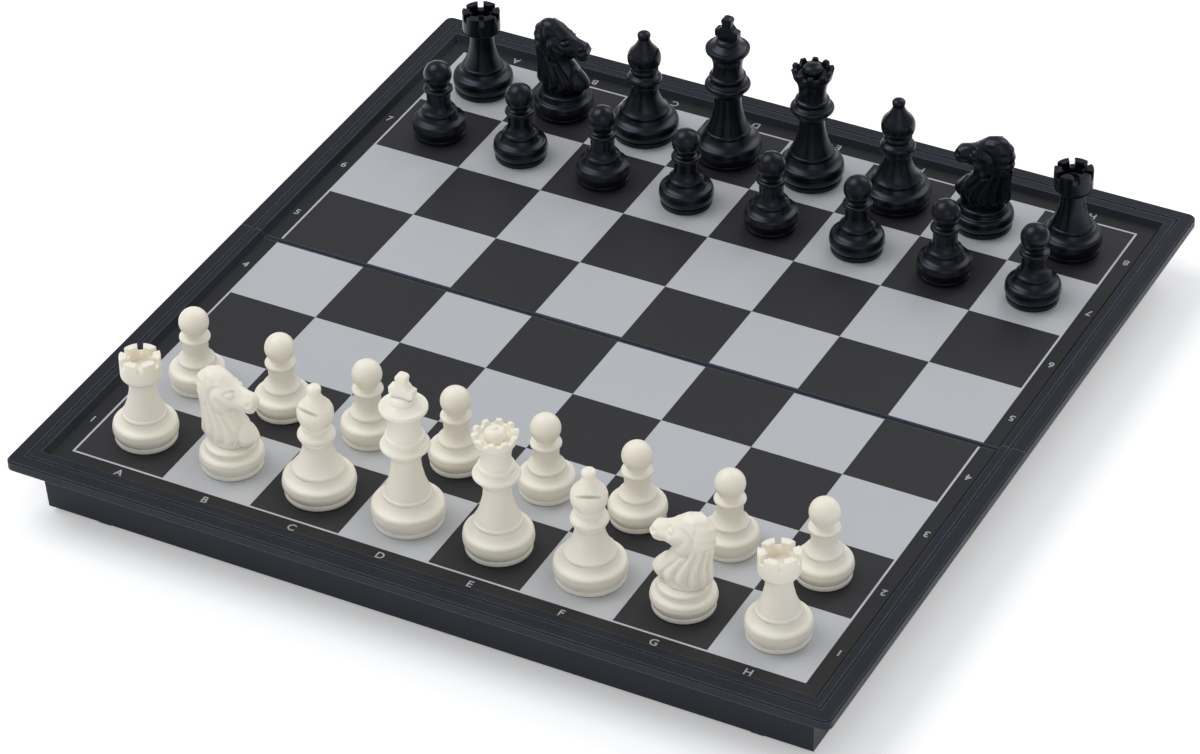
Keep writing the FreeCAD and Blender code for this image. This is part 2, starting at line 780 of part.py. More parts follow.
def king():
    """Domed crown that carries a plain cross."""
    body, _ = turned_man("king", collar("king") + [
        ("king_crown", "king_crown_z + shoulder_step"),
        ("king_dome", "king_dome_z", "dome_sag"),
        ("0", "king_dome_z + shoulder_step"),
    ])
    half = [
        ("cross_post", "king_dome_z - shoulder_step"),
        ("cross_waist", "cross_arm_low"),
        ("cross_half", "cross_arm_low - cross_flare"),
        ("cross_half", "cross_arm_high + cross_flare"),
        ("cross_waist", "cross_arm_high"),
        ("cross_post", "cross_top"),
    ]
    mirrored = [(f"-{x}", z) for x, z in reversed(half)]
    face = new_sketch(body, "cross_outline", "XZ_Plane", "-cross_thickness / 2")
    outline(face, half + mirrored)
    pad(body, "cross", face, "cross_thickness")
    return body


def rounded_section(sketch, centre, ahead, behind, half_width):
    """Four-arc section of the horse: long along the first axis, half_width across."""
    outline(sketch, [
        (f"{centre} + {ahead}", "0"),
        (centre, half_width, f"section_sag * {half_width}"),
        (f"{centre} - {behind}", "0", f"section_sag * {half_width}"),
        (centre, f"-{half_width}", f"section_sag * {half_width}"),
    ])


def knight():
    """Horse's neck and head lofted through sections, with fluted mane, ears and mouth."""
    body, _ = turned_man("knight", [("0", "knight_shoulder_z")])
    sections = []
    for number in range(1, len(NECK) + 1):
        section = new_sketch(body, f"neck_section_{number}", "XY_Plane", f"neck{number}_z")
        rounded_section(section, f"neck{number}_x", f"neck{number}_ahead", f"neck{number}_behind",
                        f"neck{number}_width")
        sections.append(section)
    loft(body, "Additive", "neck", sections, False)
    mane_flutes(body)
    sections = []
    for number in range(1, len(HEAD) + 1):
        section = new_sketch(body, f"head_section_{number}", "YZ_Plane", f"head{number}_x")
        section.setExpression("AttachmentOffset.Base.y", bound(f"head{number}_z"))
        outline(section, [
            (f"head{number}_width", "0"),
            ("0", f"head{number}_above", f"section_sag * head{number}_width"),
            (f"-head{number}_width", "0", f"section_sag * head{number}_width"),
            ("0", f"-head{number}_below", f"section_sag * head{number}_width"),
        ])
        sections.append(section)
    loft(body, "Additive", "head", sections, False)
    horse_trim(body)
    return body


def flank_point(row, number, hand):
    """Point on a section of the neck, turned from its side towards its back."""
    turn = f"(flute_first + {number} * flute_step)"
    return (
        f"(neck{row}_x - neck{row}_behind * sin({turn}))",
        f"({hand} * neck{row}_width * cos({turn}))",
        f"neck{row}_z",
    )


def mane_flutes(body):
    """Long round flutes down the neck, from the jaw to its flared lower edge."""
    climb = f"(neck{FLUTE_HIGH}_z - neck{FLUTE_LOW}_z)"
    for hand in (-1, 1):
        for number in range(FLUTES):
            low = flank_point(FLUTE_LOW, number, hand)
            high = flank_point(FLUTE_HIGH, number, hand)
            name = f"flute_{'right' if hand < 0 else 'left'}_{number + 1}"
            flute = body.newObject("PartDesign::SubtractiveCylinder", name)
            flute.setExpression("Radius", bound("flute_radius"))
            flute.setExpression("Height", bound(f"{climb} + 2 * flute_tail"))
            for axis, start, end in zip("xyz", low, high):
                foot = f"{start} - ({end} - {start}) * flute_tail / {climb}"
                flute.setExpression(f"Placement.Base.{axis}", bound(foot))
            run = V(*(value(f"{end} - {start}") for start, end in zip(low, high)))
            flute.Placement.Rotation = FreeCAD.Rotation(V(0, 0, 1), run)
            doc.recompute()


def horse_trim(body):
    """Two ears laid back and the line of the mouth."""
    for hand in (-1, 1):
        ear = body.newObject("PartDesign::AdditiveCone", f"ear_{'right' if hand < 0 else 'left'}")
        ear.setExpression("Radius1", bound("ear_radius"))
        ear.setExpression("Radius2", bound("ear_radius / 4"))
        ear.setExpression("Height", bound("ear_height"))
        for axis, text in (("x", "ear_x"), ("y", f"{hand} * ear_spread"), ("z", "ear_z")):
            ear.setExpression(f"Placement.Base.{axis}", bound(text))
        ear.Placement.Rotation = FreeCAD.Rotation(V(0, 1, 0), -value("ear_lean"))
        doc.recompute()
    lips = new_sketch(body, "mouth_outline", "XZ_Plane", "-knight_shoulder")
    outline(lips, [
        ("mouth_x", "mouth_z"),
        ("2 * mouth_x", "mouth_z - mouth_gape"),
        ("2 * mouth_x", "mouth_z + mouth_gape"),
    ])
    pocket(body, "mouth", lips, "2 * knight_shoulder", True)


def disc(name, radius, thickness, height):
    """Plain disc under a man."""
    item = doc.addObject("Part::Cylinder", name)
    item.setExpression("Radius", bound(radius))
    item.setExpression("Height", bound(thickness))
    item.setExpression("Placement.Base.z", bound(height))
    return item


def make_man(label, kind, forms, magnet, pads, x, y):
    """Set one man, its magnet and its pad on the board."""
    man = doc.addObject("Part::Compound", label)
    man.Label = label
    man.Links = [forms[kind], magnet, pads[kind]]
    turn = TURNS.get(label, TURNS.get(label.split("_", 1)[1], 0.0))
    place(man, x, y, PLATE_TOP, str(turn))
    return man


def all_men():
    """Thirty-two men on their starting squares."""
    forms = {
        "pawn": pawn(),
        "rook": rook(),
        "knight": knight(),
        "bishop": bishop(),
        "queen": queen(),
        "king": king(),
    }
    magnet = disc("magnet_disc", "magnet_radius", "magnet_thickness", "pad_thickness")
    pads = {}
    for kind in forms:
        pads[kind] = disc(f"{kind}_pad", f"{kind}_foot - pad_inset - seat_play", "pad_thickness", "0")
    men = []
    for colour, side in (("ivory", -1), ("black", 1)):
        for index, file in enumerate(FILES):
            x = f"({index} + 0.5 - files / 2) * square"
            for kind, steps in ((BACK_RANK[index], 0.5), ("pawn", 1.5)):
                y = f"{side} * ({FIELD_END} - {steps} * square)"
                men.append(make_man(f"{colour}_{kind}_{file}", kind, forms, magnet, pads, x, y))
    return men


def check_all():
    """Stop if any object of the document failed."""
    for item in doc.Objects:
        if "Invalid" in item.State or "Error" in item.State:
            raise RuntimeError(f"{item.Label} failed: {item.State}")


def main():
    """Build every piece, check it and write its file."""
    pieces = [
        tray("near_tray", -1, "near_tab_place"),
        tray("far_tray", 1, "far_tab_place"),
        play_plate("near_play_plate", -1),
        play_plate("far_play_plate", 1),
        hinge_pin("hinge_pin_left", -1),
        hinge_pin("hinge_pin_right", 1),
    ]
    pieces += all_men()
    doc.recompute()
    check_all()
    for piece in pieces:
        if piece.Shape.isNull() or not piece.Shape.isValid():
            raise RuntimeError(f"{piece.Label} has no valid shape")
    os.makedirs("parts", exist_ok=True)
    for piece in pieces:
        piece.Shape.exportStep(f"parts/{piece.Label}.step")
        print(piece.Label, len(piece.Shape.Solids), round(piece.Shape.Volume, 1))


main()
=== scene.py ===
"""Looks of a folding magnetic chess set around its fixed frame.

Metres. +X runs to the H file, +Y from the ivory side to the black side, +Z up. Sizes in the classes are
millimetres and are turned to metres where a mesh is made.
"""
import logging
import math
from dataclasses import dataclass, field
from enum import Enum
from typing import Any, Optional, Sequence, Union

import bpy
import numpy as np
from mathutils import Euler, Matrix, Vector


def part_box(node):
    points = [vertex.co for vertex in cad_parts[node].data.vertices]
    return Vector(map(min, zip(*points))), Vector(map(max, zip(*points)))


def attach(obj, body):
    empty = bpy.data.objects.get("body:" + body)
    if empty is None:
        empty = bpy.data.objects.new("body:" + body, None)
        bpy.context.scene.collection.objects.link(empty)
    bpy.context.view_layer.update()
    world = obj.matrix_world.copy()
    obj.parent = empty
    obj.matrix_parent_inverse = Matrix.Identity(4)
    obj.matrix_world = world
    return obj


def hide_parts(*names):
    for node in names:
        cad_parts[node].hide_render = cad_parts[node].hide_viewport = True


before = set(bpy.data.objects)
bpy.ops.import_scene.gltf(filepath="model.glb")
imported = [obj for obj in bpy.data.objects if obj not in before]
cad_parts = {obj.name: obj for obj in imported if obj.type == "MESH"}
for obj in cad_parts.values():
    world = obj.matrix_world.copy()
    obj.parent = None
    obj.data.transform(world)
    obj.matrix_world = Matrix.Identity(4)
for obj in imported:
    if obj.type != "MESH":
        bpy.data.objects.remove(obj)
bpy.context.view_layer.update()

LOG = logging.getLogger("chess_set")
MM = 0.001
SQUARE = 35.0
FIELD_START = 1.35
ARC_STEP = math.radians(14)
BALL_STEP = math.radians(12)
ProfilePoint = tuple[float, ...]


class Side(Enum):
    """The two sides of the game; the value is the sign of their Y."""

    IVORY = -1
    BLACK = 1


class Kind(Enum):
    """The six kinds of men, by the word their nodes use."""

    PAWN = "pawn"
    ROOK = "rook"
    KNIGHT = "knight"
    BISHOP = "bishop"
    QUEEN = "queen"
    KING = "king"


def linear(colour: str) -> tuple[float, float, float, float]:
    """Turn an sRGB hex colour to linear light.

    Args:
        colour: six hex digits after a hash sign.

    Returns:
        Red, green, blue and an alpha of one.
    """
    parts = [int(colour[i:i + 2], 16) / 255 for i in (1, 3, 5)]
    red, green, blue = (p / 12.92 if p <= 0.04045 else ((p + 0.055) / 1.055) ** 2.4 for p in parts)
    return red, green, blue, 1.0


def add_node(
    tree: bpy.types.NodeTree,
    kind: str,
    values: Optional[dict[Any, Any]] = None,
    links: Optional[dict[Any, bpy.types.NodeSocket]] = None,
    **settings: Any,
) -> bpy.types.Node:
    """Add a node to a tree.

    Args:
        tree: the material's or the world's node tree.
        kind: Blender's name of the node's class.
        values: constants for its input sockets.
        links: output sockets that feed its input sockets.
        settings: properties of the node itself.

    Returns:
        The new node.
    """
    node = tree.nodes.new(kind)
    for name, setting in settings.items():
        setattr(node, name, setting)
    for socket, constant in (values or {}).items():
        node.inputs[socket].default_value = constant
    for socket, source in (links or {}).items():
        tree.links.new(source, node.inputs[socket])
    return node


def calculate(
    tree: bpy.types.NodeTree, operation: str, *inputs: Union[float, bpy.types.NodeSocket]
) -> bpy.types.NodeSocket:
    """Add a math node.

    Args:
        tree: the material's node tree.
        operation: Blender's name of the operation.
        inputs: a constant or an output socket for each of its inputs.

    Returns:
        The socket of the result.
    """
    values = {index: entry for index, entry in enumerate(inputs) if isinstance(entry, float)}
    links = {index: entry for index, entry in enumerate(inputs) if not isinstance(entry, float)}
    return add_node(tree, "ShaderNodeMath", values, links, operation=operation).outputs[0]


def noise(
    tree: bpy.types.NodeTree,
    place: bpy.types.NodeSocket,
    size: float,
    detail: float = 2.0,
    roughness: float = 0.5,
) -> bpy.types.NodeSocket:
    """Add a noise pattern.

    Args:
        tree: the material's node tree.
        place: the coordinates it follows.
        size: size of its patches in millimetres.
        detail: how many finer layers it has.
        roughness: how strong the finer layers are.

    Returns:
        The socket of its strength, from zero to one.
    """
    values = {"Scale": 1 / (size * MM), "Detail": detail, "Roughness": roughness}
    return add_node(tree, "ShaderNodeTexNoise", values, {"Vector": place}).outputs["Fac"]


def blend(
    tree: bpy.types.NodeTree,
    first: Union[str, bpy.types.NodeSocket],
    second: Union[str, bpy.types.NodeSocket],
    share: bpy.types.NodeSocket,
) -> bpy.types.NodeSocket:
    """Mix two colours.

    Args:
        tree: the material's node tree.
        first: a hex colour or a colour socket, seen where the share is zero.
        second: the other one, seen where the share is one.
        share: the socket that mixes them.

    Returns:
        The socket of the mixed colour.
    """
    values, links = {}, {0: share}
    for socket, colour in ((6, first), (7, second)):
        if isinstance(colour, str):
            values[socket] = linear(colour)
        else:
            links[socket] = colour
    return add_node(tree, "ShaderNodeMix", values, links, data_type="RGBA").outputs[2]


def surface(tree: bpy.types.NodeTree, values: dict[str, Any], links: dict[str, bpy.types.NodeSocket]) -> None:
    """Add the shader and send it to the material's output.

    Args:
        tree: the material's node tree.
        values: constants of the shader.
        links: sockets that feed the shader.
    """
    shader = add_node(tree, "ShaderNodeBsdfPrincipled", values, links)
    add_node(tree, "ShaderNodeOutputMaterial", None, {"Surface": shader.outputs["BSDF"]})


def start_material(name: str) -> tuple[bpy.types.Material, bpy.types.NodeTree, bpy.types.NodeSocket]:
    """Start a material.

    Args:
        name: the material's name.

    Returns:
        The material, its tree and the socket of the object's own coordinates.
    """
    material = bpy.data.materials.new(name)
    material.use_nodes = True
    tree = material.node_tree
    tree.nodes.clear()
    return material, tree, add_node(tree, "ShaderNodeTexCoord").outputs["Object"]


@dataclass(frozen=True)
class MouldedPlastic:
    """ABS out of a steel mould: satin, with a fine grain that breaks up the highlights."""

    name: str
    colour: str
    shade: str
    roughness: float
    grain: float
    relief: float
    ior: float = 1.54
    specular: float = 0.5
    tint: str = "#FFFFFF"
    subsurface: float = 0.0
    edge: float = 0.0
    # colour of the painted highlight laid along the rounded edges
    polish: str = "#7C8494"
    flow: float = 14.0
    drift: float = 0.05
    depth: float = 2.4

    def material(self) -> bpy.types.Material:
        """Build the material.

        Returns:
            A material whose grain follows the mould's texture and whose gloss drifts a little, as it does
            where the melt flowed and where fingers touch.
        """
        material, tree, place = start_material(self.name)
        grain = noise(tree, place, self.grain, 3.0)
        flow = noise(tree, place, self.flow)
        colour = blend(tree, self.colour, self.shade, flow)
        gloss = add_node(
            tree, "ShaderNodeMapRange",
            {"From Min": 0.3, "From Max": 0.7, "To Min": self.roughness - self.drift,
             "To Max": self.roughness + self.drift}, {"Value": flow})
        relief = {"Height": grain}
        if self.edge:
            # the edges are rounded, and a painted highlight lightens the colour along them
            round_edge = add_node(tree, "ShaderNodeBevel", {"Radius": self.edge * MM}).outputs["Normal"]
            flat = add_node(tree, "ShaderNodeNewGeometry").outputs["Normal"]
            bend = add_node(tree, "ShaderNodeVectorMath", None, {0: round_edge, 1: flat},
                            operation="DOT_PRODUCT")
            painted_highlight = add_node(tree, "ShaderNodeMapRange", {"From Min": 0.99, "From Max": 0.8},
                              {"Value": bend.outputs["Value"]})
            colour = blend(tree, colour, self.polish, painted_highlight.outputs["Result"])
            relief["Normal"] = round_edge
        bump = add_node(tree, "ShaderNodeBump", {"Strength": 0.5, "Distance": self.relief * MM}, relief)
        surface(
            tree,
            {"IOR": self.ior, "Specular IOR Level": self.specular, "Specular Tint": linear(self.tint),
             "Subsurface Weight": self.subsurface, "Subsurface Radius": (1.0, 0.75, 0.45),
             "Subsurface Scale": self.depth * MM},
            {"Base Color": colour, "Roughness": gloss.outputs["Result"], "Normal": bump.outputs["Normal"]})
        return material


@dataclass(frozen=True)
class PrintedSteel:
    """Tinplate screen-printed in satin black and aluminium ink.

    The ink lies flat and close to matt; the silver one holds fine flakes that glint a little.
    """

    name: str
    shift: int
    silver: str = "#C3C5C8"
    glint: str = "#B9BBBF"
    black: str = "#1F1F23"
    margin: str = "#0B0C0F"
    side: float = 140.0
    end: float = 141.35
    line_gap: float = 0.6
    line_width: float = 0.8
    flake: float = 0.35
    handling: float = 45.0
    files: int = 8
    ranks: int = 4

    def material(self) -> bpy.types.Material:
        """Build the squares and the border line from the plate's own coordinates.

        Returns:
            The material of one plate.
        """
        material, tree, place = start_material(self.name)
        axes = add_node(tree, "ShaderNodeSeparateXYZ", None, {0: place})
        x = axes.outputs["X"]
        wide = calculate(tree, "ABSOLUTE", x)
        far = calculate(tree, "ABSOLUTE", axes.outputs["Y"])
        pitch = 1 / (SQUARE * MM)
        hair = 0.001
        steps = []
        for source, offset, count in ((x, self.side, self.files), (far, -FIELD_START, self.ranks)):
            ruler = calculate(tree, "MULTIPLY_ADD", source, pitch, offset * MM * pitch)
            kept = add_node(tree, "ShaderNodeClamp", {"Min": hair, "Max": count - hair}, {"Value": ruler})
            steps.append(calculate(tree, "FLOOR", kept.outputs[0]))
        total = calculate(tree, "ADD", calculate(tree, "ADD", *steps), float(self.shift))
        pale = calculate(tree, "MODULO", total, 2.0)

        past = calculate(tree, "MAXIMUM", calculate(tree, "SUBTRACT", wide, self.side * MM),
                         calculate(tree, "SUBTRACT", far, self.end * MM))
        inside = calculate(tree, "LESS_THAN", past, self.line_gap * MM)
        half_line = self.line_width / 2
        line = calculate(tree, "COMPARE", past, (self.line_gap + half_line) * MM, half_line * MM)
        silver = calculate(tree, "MAXIMUM", calculate(tree, "MULTIPLY", pale, inside), line)

        # the flakes are far finer than this; they are drawn coarser so that they show
        flakes = noise(tree, place, self.flake)
        handling = noise(tree, place, self.handling, 4.0)
        dark = blend(tree, self.margin, self.black, inside)
        colour = blend(tree, dark, blend(tree, self.silver, self.glint, flakes), silver)
        metal = calculate(tree, "MULTIPLY", silver, 0.35)
        gloss = add_node(tree, "ShaderNodeMapRange", {"To Min": 0.4, "To Max": 0.54}, {"Value": handling})
        bump = add_node(tree, "ShaderNodeBump", {"Strength": 0.25, "Distance": 0.01 * MM}, {"Height": flakes})
        surface(tree, {"IOR": 1.5, "Specular IOR Level": 0.4},
                {"Base Color": colour, "Metallic": metal, "Roughness": gloss.outputs["Result"],
                 "Normal": bump.outputs["Normal"]})
        return material


@dataclass(frozen=True)
class Ink:
    """Screen-printed aluminium ink of the letters and numbers, a little uneven in its cover."""

    name: str = "aluminium_ink"
    colour: str = "#B9BBBE"
    thin: str = "#9EA0A3"
    patch: float = 0.6

    def material(self) -> bpy.types.Material:
        """Build the material.

        Returns:
            A satin ink with patches where it lies thinner.
        """
        material, tree, place = start_material(self.name)
        colour = blend(tree, self.colour, self.thin, noise(tree, place, self.patch))
        surface(tree, {"Roughness": 0.45, "Metallic": 0.3, "IOR": 1.5}, {"Base Color": colour})
        return material


@dataclass(frozen=True)
class DrawnSteel:
    """Bright drawn wire of the hinge pins, with faint lines along its length."""

    name: str = "drawn_steel"
    colour: str = "#B9BBBD"
    line: float = 0.15

    def material(self) -> bpy.types.Material:
        """Build the material.

        Returns:
            A metal with draw lines along X.
        """
        material, tree, place = start_material(self.name)
        drawn = add_node(tree, "ShaderNodeMapping", {"Scale": (0.02, 1.0, 1.0)}, {"Vector": place})
        lines = noise(tree, drawn.outputs[0], self.line)
        gloss = add_node(tree, "ShaderNodeMapRange", {"To Min": 0.22, "To Max": 0.42}, {"Value": lines})
        bump = add_node(tree, "ShaderNodeBump", {"Strength": 0.3, "Distance": 0.005 * MM}, {"Height": lines})
        surface(tree, {"Base Color": linear(self.colour), "Metallic": 1.0},
                {"Roughness": gloss.outputs["Result"], "Normal": bump.outputs["Normal"]})
        return material


@dataclass(frozen=True)
class Felt:
    """Pressed wool felt of the pads: matt, with short fibres in every direction."""

    name: str = "pressed_felt"
    colour: str = "#2F3033"
    fibre: str = "#4A4B4F"
    spacing: float = 0.4

    def material(self) -> bpy.types.Material:
        """Build the material.

        Returns:
            A soft cloth without gloss.
        """
        material, tree, place = start_material(self.name)
        fibres = noise(tree, place, self.spacing, 6.0, 0.7)
        colour = blend(tree, self.colour, self.fibre, fibres)
        bump = add_node(tree, "ShaderNodeBump", {"Strength": 0.8, "Distance": 0.1 * MM}, {"Height": fibres})
        surface(tree, {"Roughness": 0.95, "Sheen Weight": 0.4},
                {"Base Color": colour, "Normal": bump.outputs["Normal"]})
        return material


# the board's edge setting lays a painted highlight along its rounded edges
BOARD = MouldedPlastic("grained_black_abs", "#101116", "#141519", 0.45, 0.5, 0.012, specular=0.32,
                       tint="#E0E8FF", edge=0.35)
IVORY = MouldedPlastic("ivory_abs", "#F2EDE0", "#EFE9DA", 0.42, 1.2, 0.01, subsurface=0.5)
BLACK = MouldedPlastic("satin_black_abs", "#090A0D", "#0B0C10", 0.3, 0.9, 0.012, specular=0.3,
                       tint="#DEE6FF")


def deselect() -> None:
    """Leave edit mode and select nothing."""
    if bpy.context.object and bpy.context.object.mode != "OBJECT":
        bpy.ops.object.mode_set(mode="OBJECT")
    bpy.ops.object.select_all(action="DESELECT")


def edit(piece: bpy.types.Object) -> None:
    """Enter edit mode on one mesh alone, picking vertices.

    Args:
        piece: the mesh object.
    """
    deselect()
    bpy.context.view_layer.objects.active = piece
    piece.select_set(True)
    bpy.context.tool_settings.mesh_select_mode = (True, False, False)
    bpy.ops.object.mode_set(mode="EDIT")


def finish_mesh(piece: bpy.types.Object, angle: float = 32.0) -> None:
    """Merge doubles, turn the faces outwards and shade smooth up to an angle.

    Args:
        piece: a mesh object.
        angle: edges that turn by more degrees than this stay sharp.
    """
    edit(piece)
    bpy.ops.mesh.select_all(action="SELECT")
    bpy.ops.mesh.remove_doubles(threshold=0.002 * MM)
    bpy.ops.mesh.normals_make_consistent(inside=False)
    bpy.ops.object.mode_set(mode="OBJECT")
    bpy.ops.object.shade_smooth_by_angle(angle=math.radians(angle))


def apply_modifier(piece: bpy.types.Object, kind: str, **settings: Any) -> None:
    """Add a modifier to a piece and apply it.

    Args:
        piece: the object.
        kind: Blender's name of the modifier.
        settings: its properties.
    """
    deselect()
    bpy.context.view_layer.objects.active = piece
    piece.select_set(True)
    modifier = piece.modifiers.new(kind.lower(), kind)
    for name, setting in settings.items():
        setattr(modifier, name, setting)
    bpy.ops.object.modifier_apply(modifier=modifier.name)


def cut_box(piece: bpy.types.Object, place: Matrix, size: Sequence[float]) -> None:
    """Cut a box out of a mesh.

    Args:
        piece: the mesh object.
        place: where the middle of the box lies and how it is turned, in metres.
        size: its three lengths in millimetres.
    """
    deselect()
    bpy.ops.mesh.primitive_cube_add(size=1)
    cutter = bpy.context.object
    cutter.data.transform(place @ Matrix.Diagonal([length * MM for length in size] + [1]))
    apply_modifier(piece, "BOOLEAN", object=cutter, operation="DIFFERENCE", solver="EXACT")
    bpy.data.objects.remove(cutter)


def soften(piece: bpy.types.Object, voxel: float, rounds: int) -> None:
    """Give a closed form one even skin and round its edges.

    Args:
        piece: the mesh object.
        voxel: size of the skin's faces in millimetres.
        rounds: how often it is smoothed.
    """
    apply_modifier(piece, "REMESH", mode="VOXEL", voxel_size=voxel * MM)
    apply_modifier(piece, "SMOOTH", factor=0.5, iterations=rounds)


def join(pieces: Sequence[bpy.types.Object], name: str) -> bpy.types.Object:
    """Join meshes into one object.

    Args:
        pieces: the meshes; the first one stays.
        name: name of the result.

    Returns:
        The joined object.
    """
    deselect()
    for piece in pieces:
        piece.select_set(True)
    bpy.context.view_layer.objects.active = pieces[0]
    bpy.ops.object.join()
    pieces[0].name = name
    return pieces[0]


def arc(start: ProfilePoint, end: ProfilePoint, sag: float) -> list[tuple[float, float]]:
    """Points on an arc, without its start.

    Args:
        start: radius and height where it starts.
        end: radius and height where it ends.
        sag: how far it bulges to the right of its direction of travel; outwards on the way up.

    Returns:
        Radius and height of each point.
    """
    first, last = np.array(start[:2]), np.array(end[:2])
    chord = last - first
    length = float(np.hypot(*chord))
    right = np.array([chord[1], -chord[0]]) / length
    centre = (first + last) / 2 + right * (sag / 2 - length ** 2 / (8 * sag))
    angles = [math.atan2(*(point - centre)[::-1]) for point in (first, last)]
    turn = angles[1] - angles[0]
    turn = (turn + math.pi) % (2 * math.pi) - math.pi
    if abs(sag) > length / 2:
        turn -= math.copysign(2 * math.pi, turn)
    radius = float(np.hypot(*(first - centre)))
    count = max(3, round(abs(turn) / ARC_STEP))
    steps = [angles[0] + turn * step / count for step in range(1, count + 1)]
    return [(centre[0] + radius * math.cos(a), centre[1] + radius * math.sin(a)) for a in steps]


def ball(start: ProfilePoint, top: float) -> list[tuple[float, float]]:
    """Points on a ball centred on the axis, without the start.

    Args:
        start: radius and height of a point on its side.
        top: height of its top.

    Returns:
        Radius and height of each point up to the top.
    """
    radius, height = start[:2]
    rise = top - height
    size = (radius ** 2 + rise ** 2) / (2 * rise)
    low = math.atan2(height - (top - size), radius)
    count = max(4, round((math.pi / 2 - low) / BALL_STEP))
    points = []
    for step in range(1, count + 1):
        angle = low + (math.pi / 2 - low) * step / count
        points.append((max(0.0, size * math.cos(angle)), top - size + size * math.sin(angle)))
    points[-1] = (0.0, top)
    return points


def expand(points: Sequence[ProfilePoint]) -> list[tuple[float, float]]:
    """Draw out a profile.

    Args:
        points: radius, height and, where an arc leads to the point, the arc's sag. A point on the axis with a
            sag ends a ball.

    Returns:
        Radius and height of every vertex.
    """
    line = [tuple(points[0][:2])]
    for previous, point in zip(points, points[1:]):
        if len(point) == 2:
            line.append(point)
        elif point[0] == 0.0:
            line += ball(previous, point[1])
        else:
            line += arc(previous, point, point[2])
    return line


def lathe(name: str, profile: Sequence[ProfilePoint], steps: int = 72) -> bpy.types.Object:
    """Turn a profile about the Z axis.

    Args:
        name: the object's name.
        profile: radius, height and sag of its points, in millimetres.
        steps: faces round the axis.

    Returns:
        The turned mesh, at the origin.
    """
    line = expand(profile)
    deselect()
    bpy.ops.mesh.primitive_plane_add(size=MM)
    piece = bpy.context.object
    piece.name = name
    edit(piece)
    bpy.ops.mesh.select_all(action="SELECT")
    bpy.ops.mesh.merge(type="CENTER")
    bpy.ops.transform.translate(value=(line[0][0] * MM, 0, line[0][1] * MM))
    for (r0, z0), (r1, z1) in zip(line, line[1:]):
        bpy.ops.mesh.extrude_region_move(
            TRANSFORM_OT_translate={"value": ((r1 - r0) * MM, 0, (z1 - z0) * MM)})
    bpy.ops.mesh.select_all(action="SELECT")
    bpy.ops.mesh.spin(steps=steps, angle=2 * math.pi, center=(0, 0, 0), axis=(0, 0, 1))
    finish_mesh(piece)
    return piece


def read_points(piece: bpy.types.Object) -> np.ndarray:
    """Vertices of a mesh in millimetres."""
    points = np.empty(len(piece.data.vertices) * 3)
    piece.data.vertices.foreach_get("co", points)
    return points.reshape(-1, 3) / MM


def write_points(piece: bpy.types.Object, points: np.ndarray) -> None:
    """Move the vertices of a mesh.

    Args:
        piece: the mesh object.
        points: new places in millimetres.
    """
    piece.data.vertices.foreach_set("co", (points * MM).ravel())
    piece.data.update()


def smoothstep(low: float, high: float, values: np.ndarray) -> np.ndarray:
    """Zero below low, one above high and a soft rise between; the other way round if low is above high."""
    ramp = np.clip((values - low) / (high - low), 0, 1)
    return ramp * ramp * (3 - 2 * ramp)


def hill(values: np.ndarray, centre: float, half: float) -> np.ndarray:
    """A bell of height one that fades out at half a width from its centre."""
    return np.exp(-((values - centre) / half) ** 2 * 2.5)


@dataclass
class Man:
    """A turned man: foot ring, rounded drum, cove, ring and concave stem, with its own top."""

    kind: Kind
    foot: float
    drum: float
    crest_z: float
    ring: float
    ring_z: float
    stem: float
    stem_z: float
    sag: float
    steps: int = 72

    def base(self) -> list[ProfilePoint]:
        """Profile from the middle of the pad to the slimmest part of the stem."""
        foot, drum, crest, ring, top = self.foot, self.drum, self.crest_z, self.ring, self.ring_z
        return [
            (0.0, 0.05),
            (foot - 2.6, 0.05),
            (foot - 2.4, 0.4),
            (foot - 2.2, 0.4),
            (foot - 2.0, 0.0),
            (foot - 0.5, 0.0),
            (foot, 0.5, 0.14),
            (foot, 1.5),
            (foot - 0.25, 1.75, 0.06),
            (foot - 0.55, 1.9),
            (foot - 0.55, 2.15),
            (foot - 0.1, 2.35),
            (drum - 0.1, 4.1, 0.14),
            (drum - 0.25, crest - 1.7, 0.16),
            (drum - 1.5, crest, 0.42),
            (ring + 0.2, top - 1.2, -0.35),
            (ring, top - 0.9),
            (ring - 0.1, top + 0.6, 0.26),
            (ring - 0.4, top + 0.75),
            (self.stem, self.stem_z, -self.sag),
        ]

    def upper(self) -> list[ProfilePoint]:
        """Profile above the stem; flat unless a kind has its own."""
        return [(0.0, self.stem_z)]

    def model(self) -> bpy.types.Object:
        """Make one man of this kind.

        Returns:
            Its mesh, standing at the origin.
        """
        piece = lathe(f"{self.kind.value}_pattern", self.base() + self.upper(), self.steps)
        return self.detail(piece)

    def detail(self, piece: bpy.types.Object) -> bpy.types.Object:
        """Add what cannot be turned."""
        return piece


@dataclass
class Pawn(Man):
    """Ball head over a round collar."""

    collar: float = 5.6
    collar_z: float = 20.3
    head: float = 5.4
    head_z: float = 26.6
    neck: float = 3.6

    def upper(self) -> list[ProfilePoint]:
        """Profile above the stem."""
        throat = self.head_z - math.sqrt(self.head ** 2 - self.neck ** 2)
        return [
            (self.collar - 0.9, self.collar_z - 0.95, -0.12),
            (self.collar - 0.9, self.collar_z + 0.95, 0.9),
            (self.neck, self.collar_z + 1.5, -0.1),
            (self.neck, throat),
            (0.0, self.head_z + self.head, 1.0),
        ]


